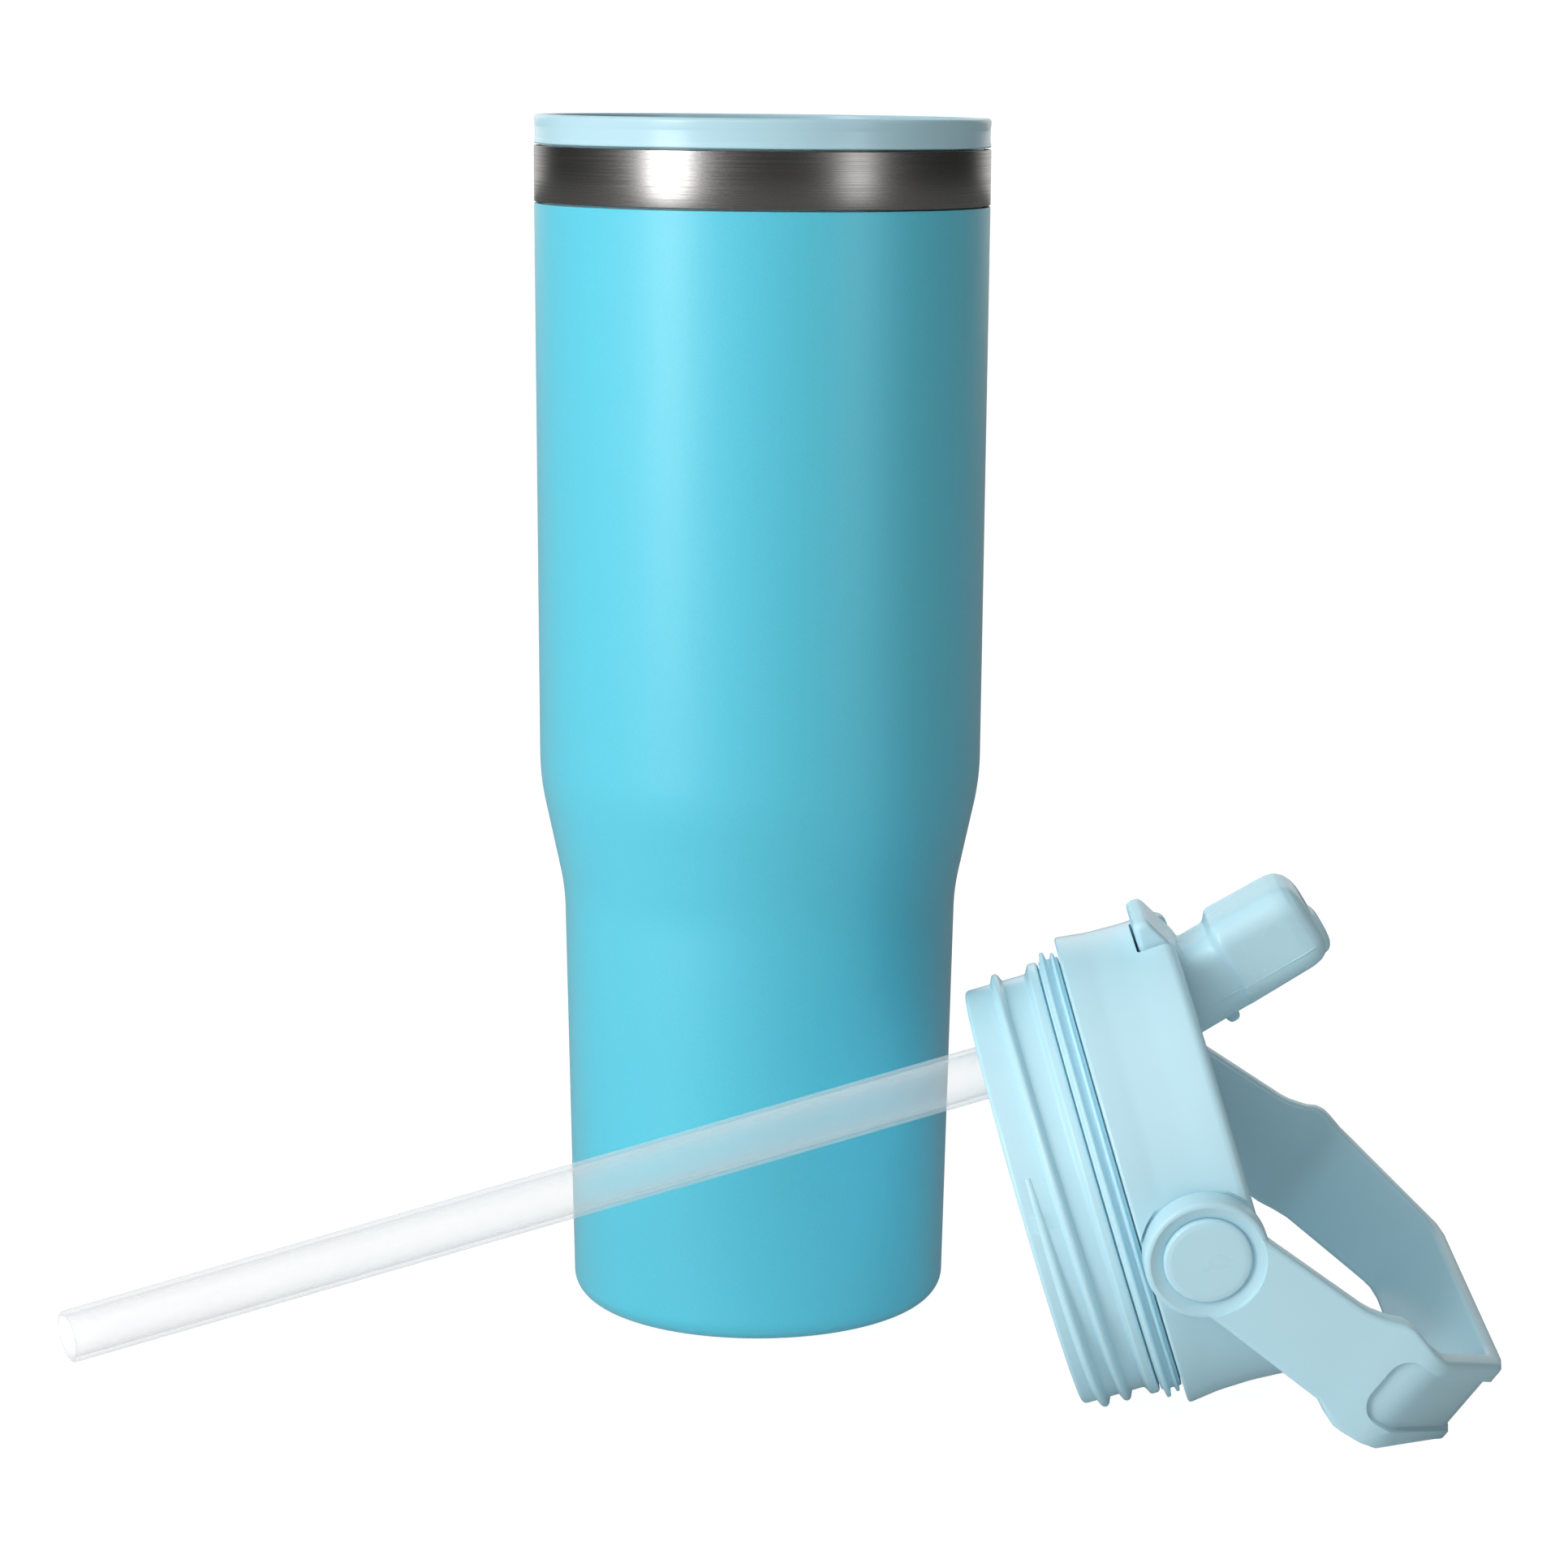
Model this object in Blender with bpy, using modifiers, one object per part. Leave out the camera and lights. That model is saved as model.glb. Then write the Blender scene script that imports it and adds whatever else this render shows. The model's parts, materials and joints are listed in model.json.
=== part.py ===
"""Insulated straw bottle with its screw lid taken off and lying beside it.

Metres, +Z up. The bottle stands on z = 0 with its axis on the world Z axis. The lid lies on its
side next to it, on its thread and the corner of its handle, with the straw still in its socket.
"""

from math import cos, pi, radians, sin

import bmesh
import bpy
from mathutils import Matrix, Vector

MM = 0.001
FIT_GAP = 0.3
EDGE = 48
EDGE_HIDDEN = 40
EDGE_SMALL = 24

# Bottle, in mm from the floor it stands on
RIM_HEIGHT = 224.7
COLLAR_BOTTOM = 219.4
BAND_BOTTOM = 209.0
SHELL_TOP = 208.7
BARREL_RADIUS = 42.0
SHOULDER_TOP = (41.56, 104.5)
SHOULDER_FOOT = (37.2, 82.0)
LOWER_TOP_RADIUS = 37.0
LOWER_FOOT_RADIUS = 35.6
FOOT_ROUND = 9.9
FOOT_CENTRE_HEIGHT = 10.6
SHELL_WALL = 0.8
LINER_WALL = 0.7
VACUUM_GAP = 2.9
LINER_FLANGE = 203.0
LINER_FLOOR = 9.6
COLLAR_BORE = 39.75
MOUTH_BORE = 40.45
SLEEVE_RADIUS = 40.65
SLEEVE_BOTTOM = 204.5

# Lid, in mm from the mouth of its plug, spout toward -X and handle pivots on Y
LID_RADIUS = 42.6
LID_WAIST = 41.75
SEAT_HEIGHT = 17.9
LID_TOP = 37.8
PLUG_RADIUS = 37.8
PLUG_BORE = 35.3
GLAND_RADIUS = 38.0
RING_RADIUS = 39.35
TOP_PLATE_UNDER = 35.3
THREAD_PITCH = 4.0
THREAD_TURNS = 1.5
THREAD_START_HEIGHT = 2.75
THREAD_START_ANGLE = radians(-90)
THREAD_CREST = 39.3
FEMALE_CREST = 38.3
THREAD_STEPS = 54
THREAD_FADE = 14
LOWEST_TIP = 0.45

# Spout and the trough it folds into
HINGE_X = -27.2
HINGE_Z = 28.0
SPOUT_LEAN = radians(15)
BARREL_SIZE = 8.2
SPOUT_HALF_WIDTH = 6.9
MOUTHPIECE_HALF_WIDTH = 7.8
SPOUT_LENGTH = 35.6
FLOW_BORE = 2.8
TROUGH_FLOOR = 19.2
TROUGH_FLOOR_UNDER = 16.7
TROUGH_HALF_WIDTH = 8.6
TROUGH_WALL = 2.4
TROUGH_FRONT_X = -37.8
TROUGH_BACK_X = 12.5
NOTCH_FLOOR = 31.2
NOTCH_HALF_WIDTH = 7.3
SPOUT_PIN_RADIUS = 1.6

# Handle, a bail on two pivots
PIVOT_Z = 27.9
HUB_RADIUS = 10.6
HUB_INNER = 41.3
HUB_OUTER = 46.1
RECESS_FLOOR = 41.0
ARM_INNER = 42.45
BAIL_THICKNESS = 3.6
BAIL_CORNER = (46.0, 41.1)
BAIL_BAR = (27.7, 57.5)
HANDLE_TILT = radians(53.3)
PIN_RADIUS = 2.2
CAP_RADIUS = 7.45
CAP_FACE = 46.35

# Straw
STRAW_X = -24.9
STRAW_RADIUS = 4.7
STRAW_BORE = 3.9
STRAW_REACH = 169.6
STRAW_TOP = 14.5

# How the lid lies beside the bottle
LID_PLACE = (47.06, -60.2, 36.82)
LID_HEADING = radians(-1.1)
LID_RISE = radians(17.0)
LID_ROLL = radians(7.2)

for old in list(bpy.data.objects):
    bpy.data.objects.remove(old, do_unlink=True)

scene = bpy.context.scene
parts = bpy.data.collections.new("insulated_straw_bottle")
cutters = bpy.data.collections.new("cutters")
scene.collection.children.link(parts)
scene.collection.children.link(cutters)
cutters.hide_render = True


def material(name, colour, roughness, metallic=0.0, transmission=0.0):
    made = bpy.data.materials.new(name)
    made.use_nodes = True
    shader = made.node_tree.nodes["Principled BSDF"]
    shader.inputs["Base Color"].default_value = (*colour, 1.0)
    shader.inputs["Roughness"].default_value = roughness
    shader.inputs["Metallic"].default_value = metallic
    shader.inputs["Transmission Weight"].default_value = transmission
    made.diffuse_color = (*colour, 1.0)
    return made


PAINT = material("powder_coat_blue", (0.13, 0.59, 0.74), 0.42)
BAND = material("brushed_neck_steel", (0.42, 0.41, 0.40), 0.32, metallic=1.0)
LINER = material("liner_steel", (0.55, 0.55, 0.54), 0.35, metallic=1.0)
COLLAR = material("collar_plastic", (0.55, 0.80, 0.88), 0.30)
RUBBER = material("base_rubber", (0.10, 0.30, 0.36), 0.75)
SEAL = material("seal_silicone", (0.75, 0.80, 0.82), 0.55)
CUP = material("base_cup_steel", (0.48, 0.48, 0.48), 0.40, metallic=1.0)
GLASSY = material("port_solder_glass", (0.20, 0.22, 0.22), 0.25)
GETTER = material("getter_alloy", (0.30, 0.30, 0.31), 0.60, metallic=1.0)
LID = material("lid_plastic", (0.53, 0.79, 0.88), 0.28)
PLATE = material("inner_plate_plastic", (0.57, 0.80, 0.87), 0.35)
GASKET = material("gasket_silicone", (0.58, 0.82, 0.88), 0.45)
VALVE = material("valve_silicone", (0.80, 0.88, 0.90), 0.50)
SPOUT = material("spout_plastic", (0.54, 0.79, 0.87), 0.28)
NOZZLE = material("nozzle_silicone", (0.60, 0.83, 0.89), 0.40)
HANDLE = material("handle_plastic", (0.52, 0.77, 0.86), 0.30)
CAP = material("cap_plastic", (0.55, 0.79, 0.87), 0.30)
PIN = material("pin_steel", (0.60, 0.60, 0.60), 0.30, metallic=1.0)
WASHER = material("washer_nylon", (0.85, 0.86, 0.84), 0.50)
STRAW = material("straw_plastic", (0.88, 0.92, 0.93), 0.45, transmission=0.6)


def add(name, mesh, finish, parent=None):
    obj = bpy.data.objects.new(name, mesh)
    obj.data.materials.append(finish)
    parts.objects.link(obj)
    obj.parent = parent
    return obj


def as_cutter(name, mesh, parent=None):
    obj = bpy.data.objects.new(name, mesh)
    cutters.objects.link(obj)
    obj.hide_render = True
    obj.display_type = "WIRE"
    obj.parent = parent
    return obj


def mesh_from(name, build):
    shape = bmesh.new()
    build(shape)
    bmesh.ops.recalc_face_normals(shape, faces=shape.faces)
    made = bpy.data.meshes.new(name)
    shape.to_mesh(made)
    shape.free()
    return made


def half_section(shape, profile):
    """Points and edges of a (radius, height) outline, left open where it meets the axis."""
    points = [shape.verts.new((r * MM, 0, h * MM)) for r, h in profile]
    pairs = list(zip(points, points[1:] + points[:1]))
    if profile[0][0] == 0 and profile[-1][0] == 0:
        pairs = pairs[:-1]
    return points, [shape.edges.new(pair) for pair in pairs]


def turned_mesh(name, profile, steps, centre=(0, 0, 0)):
    """A closed body turned about Z, with its axis through centre."""

    def build(shape):
        first, edges = half_section(shape, profile)
        bmesh.ops.spin(
            shape,
            geom=first + edges,
            angle=2 * pi,
            steps=steps,
            axis=(0, 0, 1),
            cent=(0, 0, 0),
            use_merge=True,
        )
        bmesh.ops.remove_doubles(shape, verts=shape.verts, dist=1e-7)
        bmesh.ops.translate(shape, verts=shape.verts, vec=Vector(centre) * MM)

    return mesh_from(name, build)


def screwed(name, profile, steps, finish, parent=None):
    """A turned part made with a Screw modifier from its half section at +X."""

    shape = bmesh.new()
    half_section(shape, profile)
    made = bpy.data.meshes.new(name)
    shape.to_mesh(made)
    shape.free()
    obj = add(name, made, finish, parent)
    turn = obj.modifiers.new("turn", "SCREW")
    turn.steps = steps
    turn.render_steps = steps
    turn.use_merge_vertices = True
    turn.merge_threshold = 1e-6
    turn.use_smooth_shade = False
    return obj


def lofted(rings):
    """Skin over rings of points with equal counts, closed at both ends."""

    def build(shape):
        laid = [[shape.verts.new(Vector(p) * MM) for p in ring] for ring in rings]
        count = len(laid[0])
        for low, high in zip(laid, laid[1:]):
            for i in range(count):
                j = (i + 1) % count
                shape.faces.new((low[i], low[j], high[j], high[i]))
        shape.faces.new(laid[0][::-1])
        shape.faces.new(laid[-1])

    return build


def prism(outline, low, high):
    """An outline in the XZ plane run along Y from low to high."""
    return lofted([[(x, low, z) for x, z in outline], [(x, high, z) for x, z in outline]])


def block(x0, x1, y0, y1, z0, z1):
    return prism([(x0, z0), (x1, z0), (x1, z1), (x0, z1)], y0, y1)


def rod_outline(x, z, radius, steps=EDGE_SMALL):
    turns = [2 * pi * i / steps for i in range(steps)]
    return [(x + radius * cos(t), z + radius * sin(t)) for t in turns]


def rod_y(x, z, radius, low, high, steps=EDGE_SMALL):
    return prism(rod_outline(x, z, radius, steps), low, high)


def rod_z(x, radius, low, high, steps=EDGE_SMALL):
    turns = [2 * pi * i / steps for i in range(steps)]
    return lofted(
        [[(x + radius * cos(t), radius * sin(t), z) for t in turns] for z in (low, high)]
    )


def cut(target, cutter, operation="DIFFERENCE"):
    step = target.modifiers.new(cutter.name, "BOOLEAN")
    step.operation = operation
    step.solver = "EXACT"
    step.object = cutter


def soften(target, width, segments):
    bevel = target.modifiers.new("soft edges", "BEVEL")
    bevel.width = width * MM
    bevel.segments = segments
    bevel.limit_method = "ANGLE"
    bevel.angle_limit = radians(35)


def helper(name, parent=None, location=(0, 0, 0), turn_y=0.0):
    empty = bpy.data.objects.new(name, None)
    empty.empty_display_size = 0.01
    parts.objects.link(empty)
    empty.location = Vector(location) * MM
    empty.rotation_euler = (0, turn_y, 0)
    if parent is not None:
        empty.parent = parent
    return empty


def arc(centre, radius, start, end, count):
    """Points (radius, height) on a quarter of a rounding, angles measured below horizontal."""
    spread = [start + (end - start) * i / (count - 1) for i in range(count)]
    return [(centre[0] + radius * cos(t), centre[1] - radius * sin(t)) for t in spread]


def helix(crest, root, base_half, crest_half, height_at):
    """A thread ridge that rises from the root radius to the crest, fading in and out."""
    rings = []
    for i in range(THREAD_STEPS + 1):
        along = i / THREAD_STEPS
        turn = THREAD_START_ANGLE + along * THREAD_TURNS * 2 * pi
        z = height_at(along)
        fade = min(1.0, along * THREAD_FADE, (1 - along) * THREAD_FADE)
        tip = root + (crest - root) * (LOWEST_TIP + (1 - LOWEST_TIP) * fade)
        section = (
            (root, z - base_half),
            (tip, z - crest_half),
            (tip, z + crest_half),
            (root, z + base_half),
        )
        rings.append([(r * cos(turn), r * sin(turn), h) for r, h in section])
    return lofted(rings)


# The bottle

bottle_axis = helper("bottle_axis")

foot_centre = (LOWER_FOOT_RADIUS - FOOT_ROUND, FOOT_CENTRE_HEIGHT)
FOOT_TURN = radians(80)
shoulder_run = [
    (BARREL_RADIUS - 0.44, 107.0),
    (SHOULDER_TOP[0] - 0.06, 103.2),
    (SHOULDER_TOP[0] - 0.42, 100.2),
    (SHOULDER_TOP[0] - 1.0, 97.2),
    (SHOULDER_FOOT[0] + 0.6, 84.2),
    (SHOULDER_FOOT[0] + 0.05, 81.9),
    (LOWER_TOP_RADIUS, 79.6),
]
shell_outer = (
    [(BARREL_RADIUS - 0.2, SHELL_TOP), (BARREL_RADIUS, SHELL_TOP - 0.2)]
    + shoulder_run
    + arc(foot_centre, FOOT_ROUND, 0, FOOT_TURN, 7)
)
shell_inner = (
    arc(foot_centre, FOOT_ROUND - SHELL_WALL, FOOT_TURN, 0, 4)
    + [(r - SHELL_WALL, h) for r, h in reversed(shoulder_run[1::2])]
    + [(BARREL_RADIUS - SHELL_WALL - 0.44, 107.0), (BARREL_RADIUS - SHELL_WALL, SHELL_TOP)]
)
shell = screwed("outer_shell", shell_outer + shell_inner, EDGE, PAINT, bottle_axis)

neck_band = screwed(
    "neck_band",
    [
        (BARREL_RADIUS - 0.15, COLLAR_BOTTOM - FIT_GAP),
        (BARREL_RADIUS, COLLAR_BOTTOM - FIT_GAP - 0.15),
        (BARREL_RADIUS, BAND_BOTTOM + 0.15),
        (BARREL_RADIUS - 0.15, BAND_BOTTOM),
        (BARREL_RADIUS - 1.0, BAND_BOTTOM),
        (BARREL_RADIUS - 1.0, COLLAR_BOTTOM - FIT_GAP),
    ],
    EDGE,
    BAND,
    bottle_axis,
)

LINER_STEP = SHELL_WALL + VACUUM_GAP
liner_outer = [
    (SLEEVE_RADIUS + 0.2, LINER_FLANGE),
    (SLEEVE_RADIUS + 0.2, LINER_FLANGE - LINER_WALL),
    (BARREL_RADIUS - LINER_STEP + 0.6, LINER_FLANGE - LINER_WALL),
    (BARREL_RADIUS - LINER_STEP, LINER_FLANGE - LINER_WALL - 1.0),
    (BARREL_RADIUS - LINER_STEP - 0.44, 107.0),
    (SHOULDER_TOP[0] - LINER_STEP - 0.8, 99.0),
    (SHOULDER_FOOT[0] - LINER_STEP, 83.0),
    (LOWER_FOOT_RADIUS - LINER_STEP + 0.2, 20.0),
    (LOWER_FOOT_RADIUS - LINER_STEP - 2.0, LINER_FLOOR + 3.0),
    (LOWER_FOOT_RADIUS - LINER_STEP - 7.0, LINER_FLOOR),
    (0.0, LINER_FLOOR),
]
liner_inner = [
    (0.0, LINER_FLOOR + LINER_WALL),
    (LOWER_FOOT_RADIUS - LINER_STEP - 7.3, LINER_FLOOR + LINER_WALL),
    (LOWER_FOOT_RADIUS - LINER_STEP - 2.6, LINER_FLOOR + 3.4),
    (LOWER_FOOT_RADIUS - LINER_STEP - LINER_WALL + 0.2, 20.4),
    (SHOULDER_FOOT[0] - LINER_STEP - LINER_WALL, 83.2),
    (SHOULDER_TOP[0] - LINER_STEP - LINER_WALL - 0.8, 99.2),
    (BARREL_RADIUS - LINER_STEP - LINER_WALL - 0.44, 107.0),
    (BARREL_RADIUS - LINER_STEP - LINER_WALL, LINER_FLANGE - 1.0),
    (BARREL_RADIUS - LINER_STEP, LINER_FLANGE),
]
liner = screwed("inner_liner", liner_outer + liner_inner, EDGE_HIDDEN, LINER, bottle_axis)

collar = screwed(
    "threaded_collar",
    [
        (MOUTH_BORE + 0.5, RIM_HEIGHT),
        (BARREL_RADIUS - 0.3, RIM_HEIGHT - 0.1),
        (BARREL_RADIUS + 0.1, RIM_HEIGHT - 0.7),
        (BARREL_RADIUS - 0.15, RIM_HEIGHT - 2.2),
        (BARREL_RADIUS - 0.15, COLLAR_BOTTOM + 1.2),
        (BARREL_RADIUS + 0.05, COLLAR_BOTTOM + 0.25),
        (BARREL_RADIUS - 0.15, COLLAR_BOTTOM),
        (SLEEVE_RADIUS, COLLAR_BOTTOM),
        (SLEEVE_RADIUS, SLEEVE_BOTTOM),
        (COLLAR_BORE, SLEEVE_BOTTOM),
        (COLLAR_BORE, COLLAR_BOTTOM + 0.4),
        (MOUTH_BORE, COLLAR_BOTTOM + 1.4),
        (MOUTH_BORE, RIM_HEIGHT - 0.4),
    ],
    EDGE,
    COLLAR,
    bottle_axis,
)
PLUG_MOUTH_WHEN_SHUT = RIM_HEIGHT - SEAT_HEIGHT


def female_height(along):
    on_lid = THREAD_START_HEIGHT + along * THREAD_TURNS * THREAD_PITCH
    return PLUG_MOUTH_WHEN_SHUT + on_lid + THREAD_PITCH / 2


female_thread = as_cutter(
    "collar_thread",
    mesh_from(
        "collar_thread", helix(FEMALE_CREST, COLLAR_BORE + 0.4, 0.95, 0.35, female_height)
    ),
    bottle_axis,
)
cut(collar, female_thread, "UNION")

screwed(
    "collar_seal",
    [
        (SLEEVE_RADIUS - 0.1, SLEEVE_BOTTOM - FIT_GAP),
        (SLEEVE_RADIUS - 0.1, LINER_FLANGE + FIT_GAP),
        (COLLAR_BORE - 1.0, LINER_FLANGE + FIT_GAP),
        (COLLAR_BORE - 1.0, SLEEVE_BOTTOM - FIT_GAP),
    ],
    EDGE_HIDDEN,
    SEAL,
    bottle_axis,
)

CUP_RADIUS = 26.7
PAD_INNER_RADIUS = 23.6
PORT_RADIUS = 2.2
screwed(
    "base_cup",
    [
        (CUP_RADIUS - 0.7, 4.4),
        (CUP_RADIUS, 4.4),
        (CUP_RADIUS, 1.3),
        (CUP_RADIUS - 0.8, 0.9),
        (CUP_RADIUS - 1.9, 0.9),
        (CUP_RADIUS - 2.6, 2.1),
        (6.6, 2.1),
        (6.0, 3.5),
        (PORT_RADIUS, 3.5),
        (PORT_RADIUS, 4.3),
        (6.7, 4.3),
        (7.2, 2.9),
        (CUP_RADIUS - 2.2, 2.9),
        (CUP_RADIUS - 1.5, 1.7),
        (CUP_RADIUS - 0.7, 1.9),
    ],
    EDGE_HIDDEN,
    CUP,
    bottle_axis,
)
screwed(
    "vacuum_port_plug",
    [
        (0.0, 5.0),
        (PORT_RADIUS - FIT_GAP, 5.0),
        (PORT_RADIUS - FIT_GAP, 3.2),
        (4.0, 3.2),
        (4.0, 2.4),
        (0.0, 2.2),
    ],
    EDGE_SMALL,
    GLASSY,
    bottle_axis,
)
screwed(
    "getter",
    [(0.0, 9.25), (6.0, 9.25), (6.4, 8.8), (6.4, 7.6), (6.0, 7.2), (0.0, 7.2)],
    EDGE_SMALL,
    GETTER,
    bottle_axis,
)
screwed(
    "base_pad",
    [
        (0.0, 1.75),
        (PAD_INNER_RADIUS, 1.75),
        (PAD_INNER_RADIUS + 0.2, 0.6),
        (CUP_RADIUS + 1.0, 0.55),
        (CUP_RADIUS + 1.3, 0.3),
        (CUP_RADIUS + 0.9, 0.0),
        (0.0, 0.0),
    ],
    EDGE_HIDDEN,
    RUBBER,
    bottle_axis,
)

# The lid

lid_axis = helper("lid_axis")
heading = Vector((cos(LID_RISE) * cos(LID_HEADING), cos(LID_RISE) * sin(LID_HEADING), sin(LID_RISE)))
level = Vector((sin(LID_HEADING), -cos(LID_HEADING), 0.0))
upward = level.cross(heading)
near_way = level * cos(LID_ROLL) - upward * sin(LID_ROLL)
spout_way = upward * cos(LID_ROLL) + level * sin(LID_ROLL)
columns = Matrix((-spout_way, -near_way, heading)).transposed()
lid_axis.matrix_world = Matrix.Translation(Vector(LID_PLACE) * MM) @ columns.to_4x4()

lid = screwed(
    "lid_body",
    [
        (0.0, LID_TOP),
        (LID_WAIST - 1.4, LID_TOP),
        (LID_WAIST - 0.2, LID_TOP - 0.5),
        (LID_WAIST + 0.4, LID_TOP - 1.8),
        (LID_WAIST + 0.05, 31.0),
        (LID_WAIST, 27.0),
        (LID_WAIST + 0.3, 22.5),
        (LID_RADIUS, SEAT_HEIGHT + 0.5),
        (LID_RADIUS - 0.35, SEAT_HEIGHT),
        (GLAND_RADIUS, SEAT_HEIGHT),
        (GLAND_RADIUS, 13.75),
        (RING_RADIUS - 0.15, 13.65),
        (RING_RADIUS, 12.8),
        (RING_RADIUS - 0.4, 12.0),
        (PLUG_RADIUS, 11.2),
        (PLUG_RADIUS, 0.7),
        (PLUG_RADIUS - 0.7, 0.0),
        (PLUG_BORE + 0.4, 0.0),
        (PLUG_BORE, 0.5),
        (PLUG_BORE, TOP_PLATE_UNDER),
        (0.0, TOP_PLATE_UNDER),
    ],
    EDGE,
    LID,
    lid_axis,
)


def male_height(along):
    return THREAD_START_HEIGHT + along * THREAD_TURNS * THREAD_PITCH


male_thread = as_cutter(
    "lid_thread",
    mesh_from("lid_thread", helix(THREAD_CREST, PLUG_RADIUS - 0.4, 1.15, 0.4, male_height)),
    lid_axis,
)
cut(lid, male_thread, "UNION")
trough_box = as_cutter(
    "trough_box",
    mesh_from(
        "trough_box",
        block(
            -PLUG_BORE - 0.6,
            TROUGH_BACK_X + TROUGH_WALL,
            -TROUGH_HALF_WIDTH - TROUGH_WALL,
            TROUGH_HALF_WIDTH + TROUGH_WALL,
            TROUGH_FLOOR_UNDER,
            LID_TOP - 1.0,
        ),
    ),
    lid_axis,
)
cut(lid, trough_box, "UNION")
trough = as_cutter(
    "trough",
    mesh_from(
        "trough",
        block(
            TROUGH_FRONT_X,
            TROUGH_BACK_X,
            -TROUGH_HALF_WIDTH,
            TROUGH_HALF_WIDTH,
            TROUGH_FLOOR,
            LID_TOP + 5.0,
        ),
    ),
    lid_axis,
)
cut(lid, trough)
notch = as_cutter(
    "tab_notch",
    mesh_from(
        "tab_notch",
        block(
            -LID_RADIUS - 5.0,
            TROUGH_FRONT_X + 1.0,
            -NOTCH_HALF_WIDTH,
            NOTCH_HALF_WIDTH,
            NOTCH_FLOOR,
            LID_TOP + 5.0,
        ),
    ),
    lid_axis,
)
cut(lid, notch)
SEAL_SEAT = 17.7
port = as_cutter("port", mesh_from("port", rod_z(STRAW_X, 3.2, 12.0, 25.0)), lid_axis)
cut(lid, port)
port_seat = as_cutter(
    "port_seat", mesh_from("port_seat", rod_z(STRAW_X, 6.9, SEAL_SEAT, 25.0)), lid_axis
)
cut(lid, port_seat)
VENT_X = HINGE_X + 14.6
vent = as_cutter("vent_hole", mesh_from("vent_hole", rod_z(VENT_X, 3.2, 12.0, 25.0)), lid_axis)
cut(lid, vent)
PIN_HOLE = PIN_RADIUS + FIT_GAP
for side, name in ((-1, "near"), (1, "far")):
    ends = sorted((side * RECESS_FLOOR, side * 60.0))
    recess = as_cutter(
        f"recess_{name}",
        mesh_from(f"recess_{name}", rod_y(0, PIVOT_Z, HUB_RADIUS + 0.5, *ends, steps=32)),
        lid_axis,
    )
    cut(lid, recess)
    ends = sorted((side * (PLUG_BORE - 3.0), side * 60.0))
    hole = as_cutter(
        f"pivot_hole_{name}",
        mesh_from(f"pivot_hole_{name}", rod_y(0, PIVOT_Z, PIN_HOLE, *ends, steps=16)),
        lid_axis,
    )
    cut(lid, hole)
spout_hole = as_cutter(
    "spout_pin_hole",
    mesh_from(
        "spout_pin_hole",
        rod_y(HINGE_X, HINGE_Z, SPOUT_PIN_RADIUS + FIT_GAP, -14.0, 14.0, steps=16),
    ),
    lid_axis,
)
cut(lid, spout_hole)

plate = screwed(
    "lid_inner_plate",
    [
        (0.0, 15.8),
        (PLUG_BORE - FIT_GAP, 15.8),
        (PLUG_BORE - FIT_GAP, 13.8),
        (0.0, 13.8),
    ],
    EDGE_HIDDEN,
    PLATE,
    lid_axis,
)
SOCKET_RADIUS = 6.3
socket_hole = as_cutter(
    "socket_hole",
    mesh_from("socket_hole", rod_z(STRAW_X, SOCKET_RADIUS + FIT_GAP, 10.0, 20.0)),
    lid_axis,
)
cut(plate, socket_hole)
VALVE_X = 22.0
valve_hole = as_cutter(
    "valve_hole", mesh_from("valve_hole", rod_z(VALVE_X, 1.9, 10.0, 20.0, 16)), lid_axis
)
cut(plate, valve_hole)

add(
    "straw_socket",
    turned_mesh(
        "straw_socket",
        [
            (SOCKET_RADIUS, 16.4),
            (SOCKET_RADIUS, 5.2),
            (SOCKET_RADIUS - 0.5, 4.6),
            (STRAW_RADIUS + 0.5, 4.6),
            (STRAW_RADIUS + 0.3, 5.0),
            (STRAW_RADIUS + 0.3, 15.0),
            (3.2, 15.0),
            (3.2, 16.4),
        ],
        EDGE_SMALL,
        centre=(STRAW_X, 0, 0),
    ),
    PLATE,
    lid_axis,
)
add(
    "vent_valve",
    turned_mesh(
        "vent_valve",
        [
            (0.0, 18.6),
            (1.4, 18.4),
            (2.7, 16.6),
            (2.7, 16.1),
            (1.6, 16.1),
            (1.6, 13.5),
            (4.6, 13.0),
            (4.2, 12.3),
            (0.0, 11.6),
        ],
        EDGE_SMALL,
        centre=(VALVE_X, 0, 0),
    ),
    VALVE,
    lid_axis,
)
add(
    "spout_port_seal",
    turned_mesh(
        "spout_port_seal",
        [
            (6.5, SEAL_SEAT + FIT_GAP),
            (3.4, SEAL_SEAT + FIT_GAP),
            (3.4, 19.3),
            (4.0, 19.45),
            (6.0, 19.45),
            (6.5, 19.1),
        ][::-1],
        EDGE_SMALL,
        centre=(STRAW_X, 0, 0),
    ),
    SEAL,
    lid_axis,
)
screwed(
    "lid_gasket",
    [
        (GLAND_RADIUS + FIT_GAP, 17.55),
        (39.2, 17.55),
        (39.2, 17.2),
        (40.15, 17.0),
        (40.15, 16.5),
        (39.2, 16.2),
        (39.2, 15.5),
        (40.7, 15.25),
        (40.7, 14.6),
        (39.2, 14.3),
        (39.0, 14.05),
        (GLAND_RADIUS + FIT_GAP, 14.05),
    ],
    EDGE,
    GASKET,
    lid_axis,
)

# The handle

handle_axis = helper("handle_axis", lid_axis, (0, 0, PIVOT_Z), HANDLE_TILT)


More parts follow.
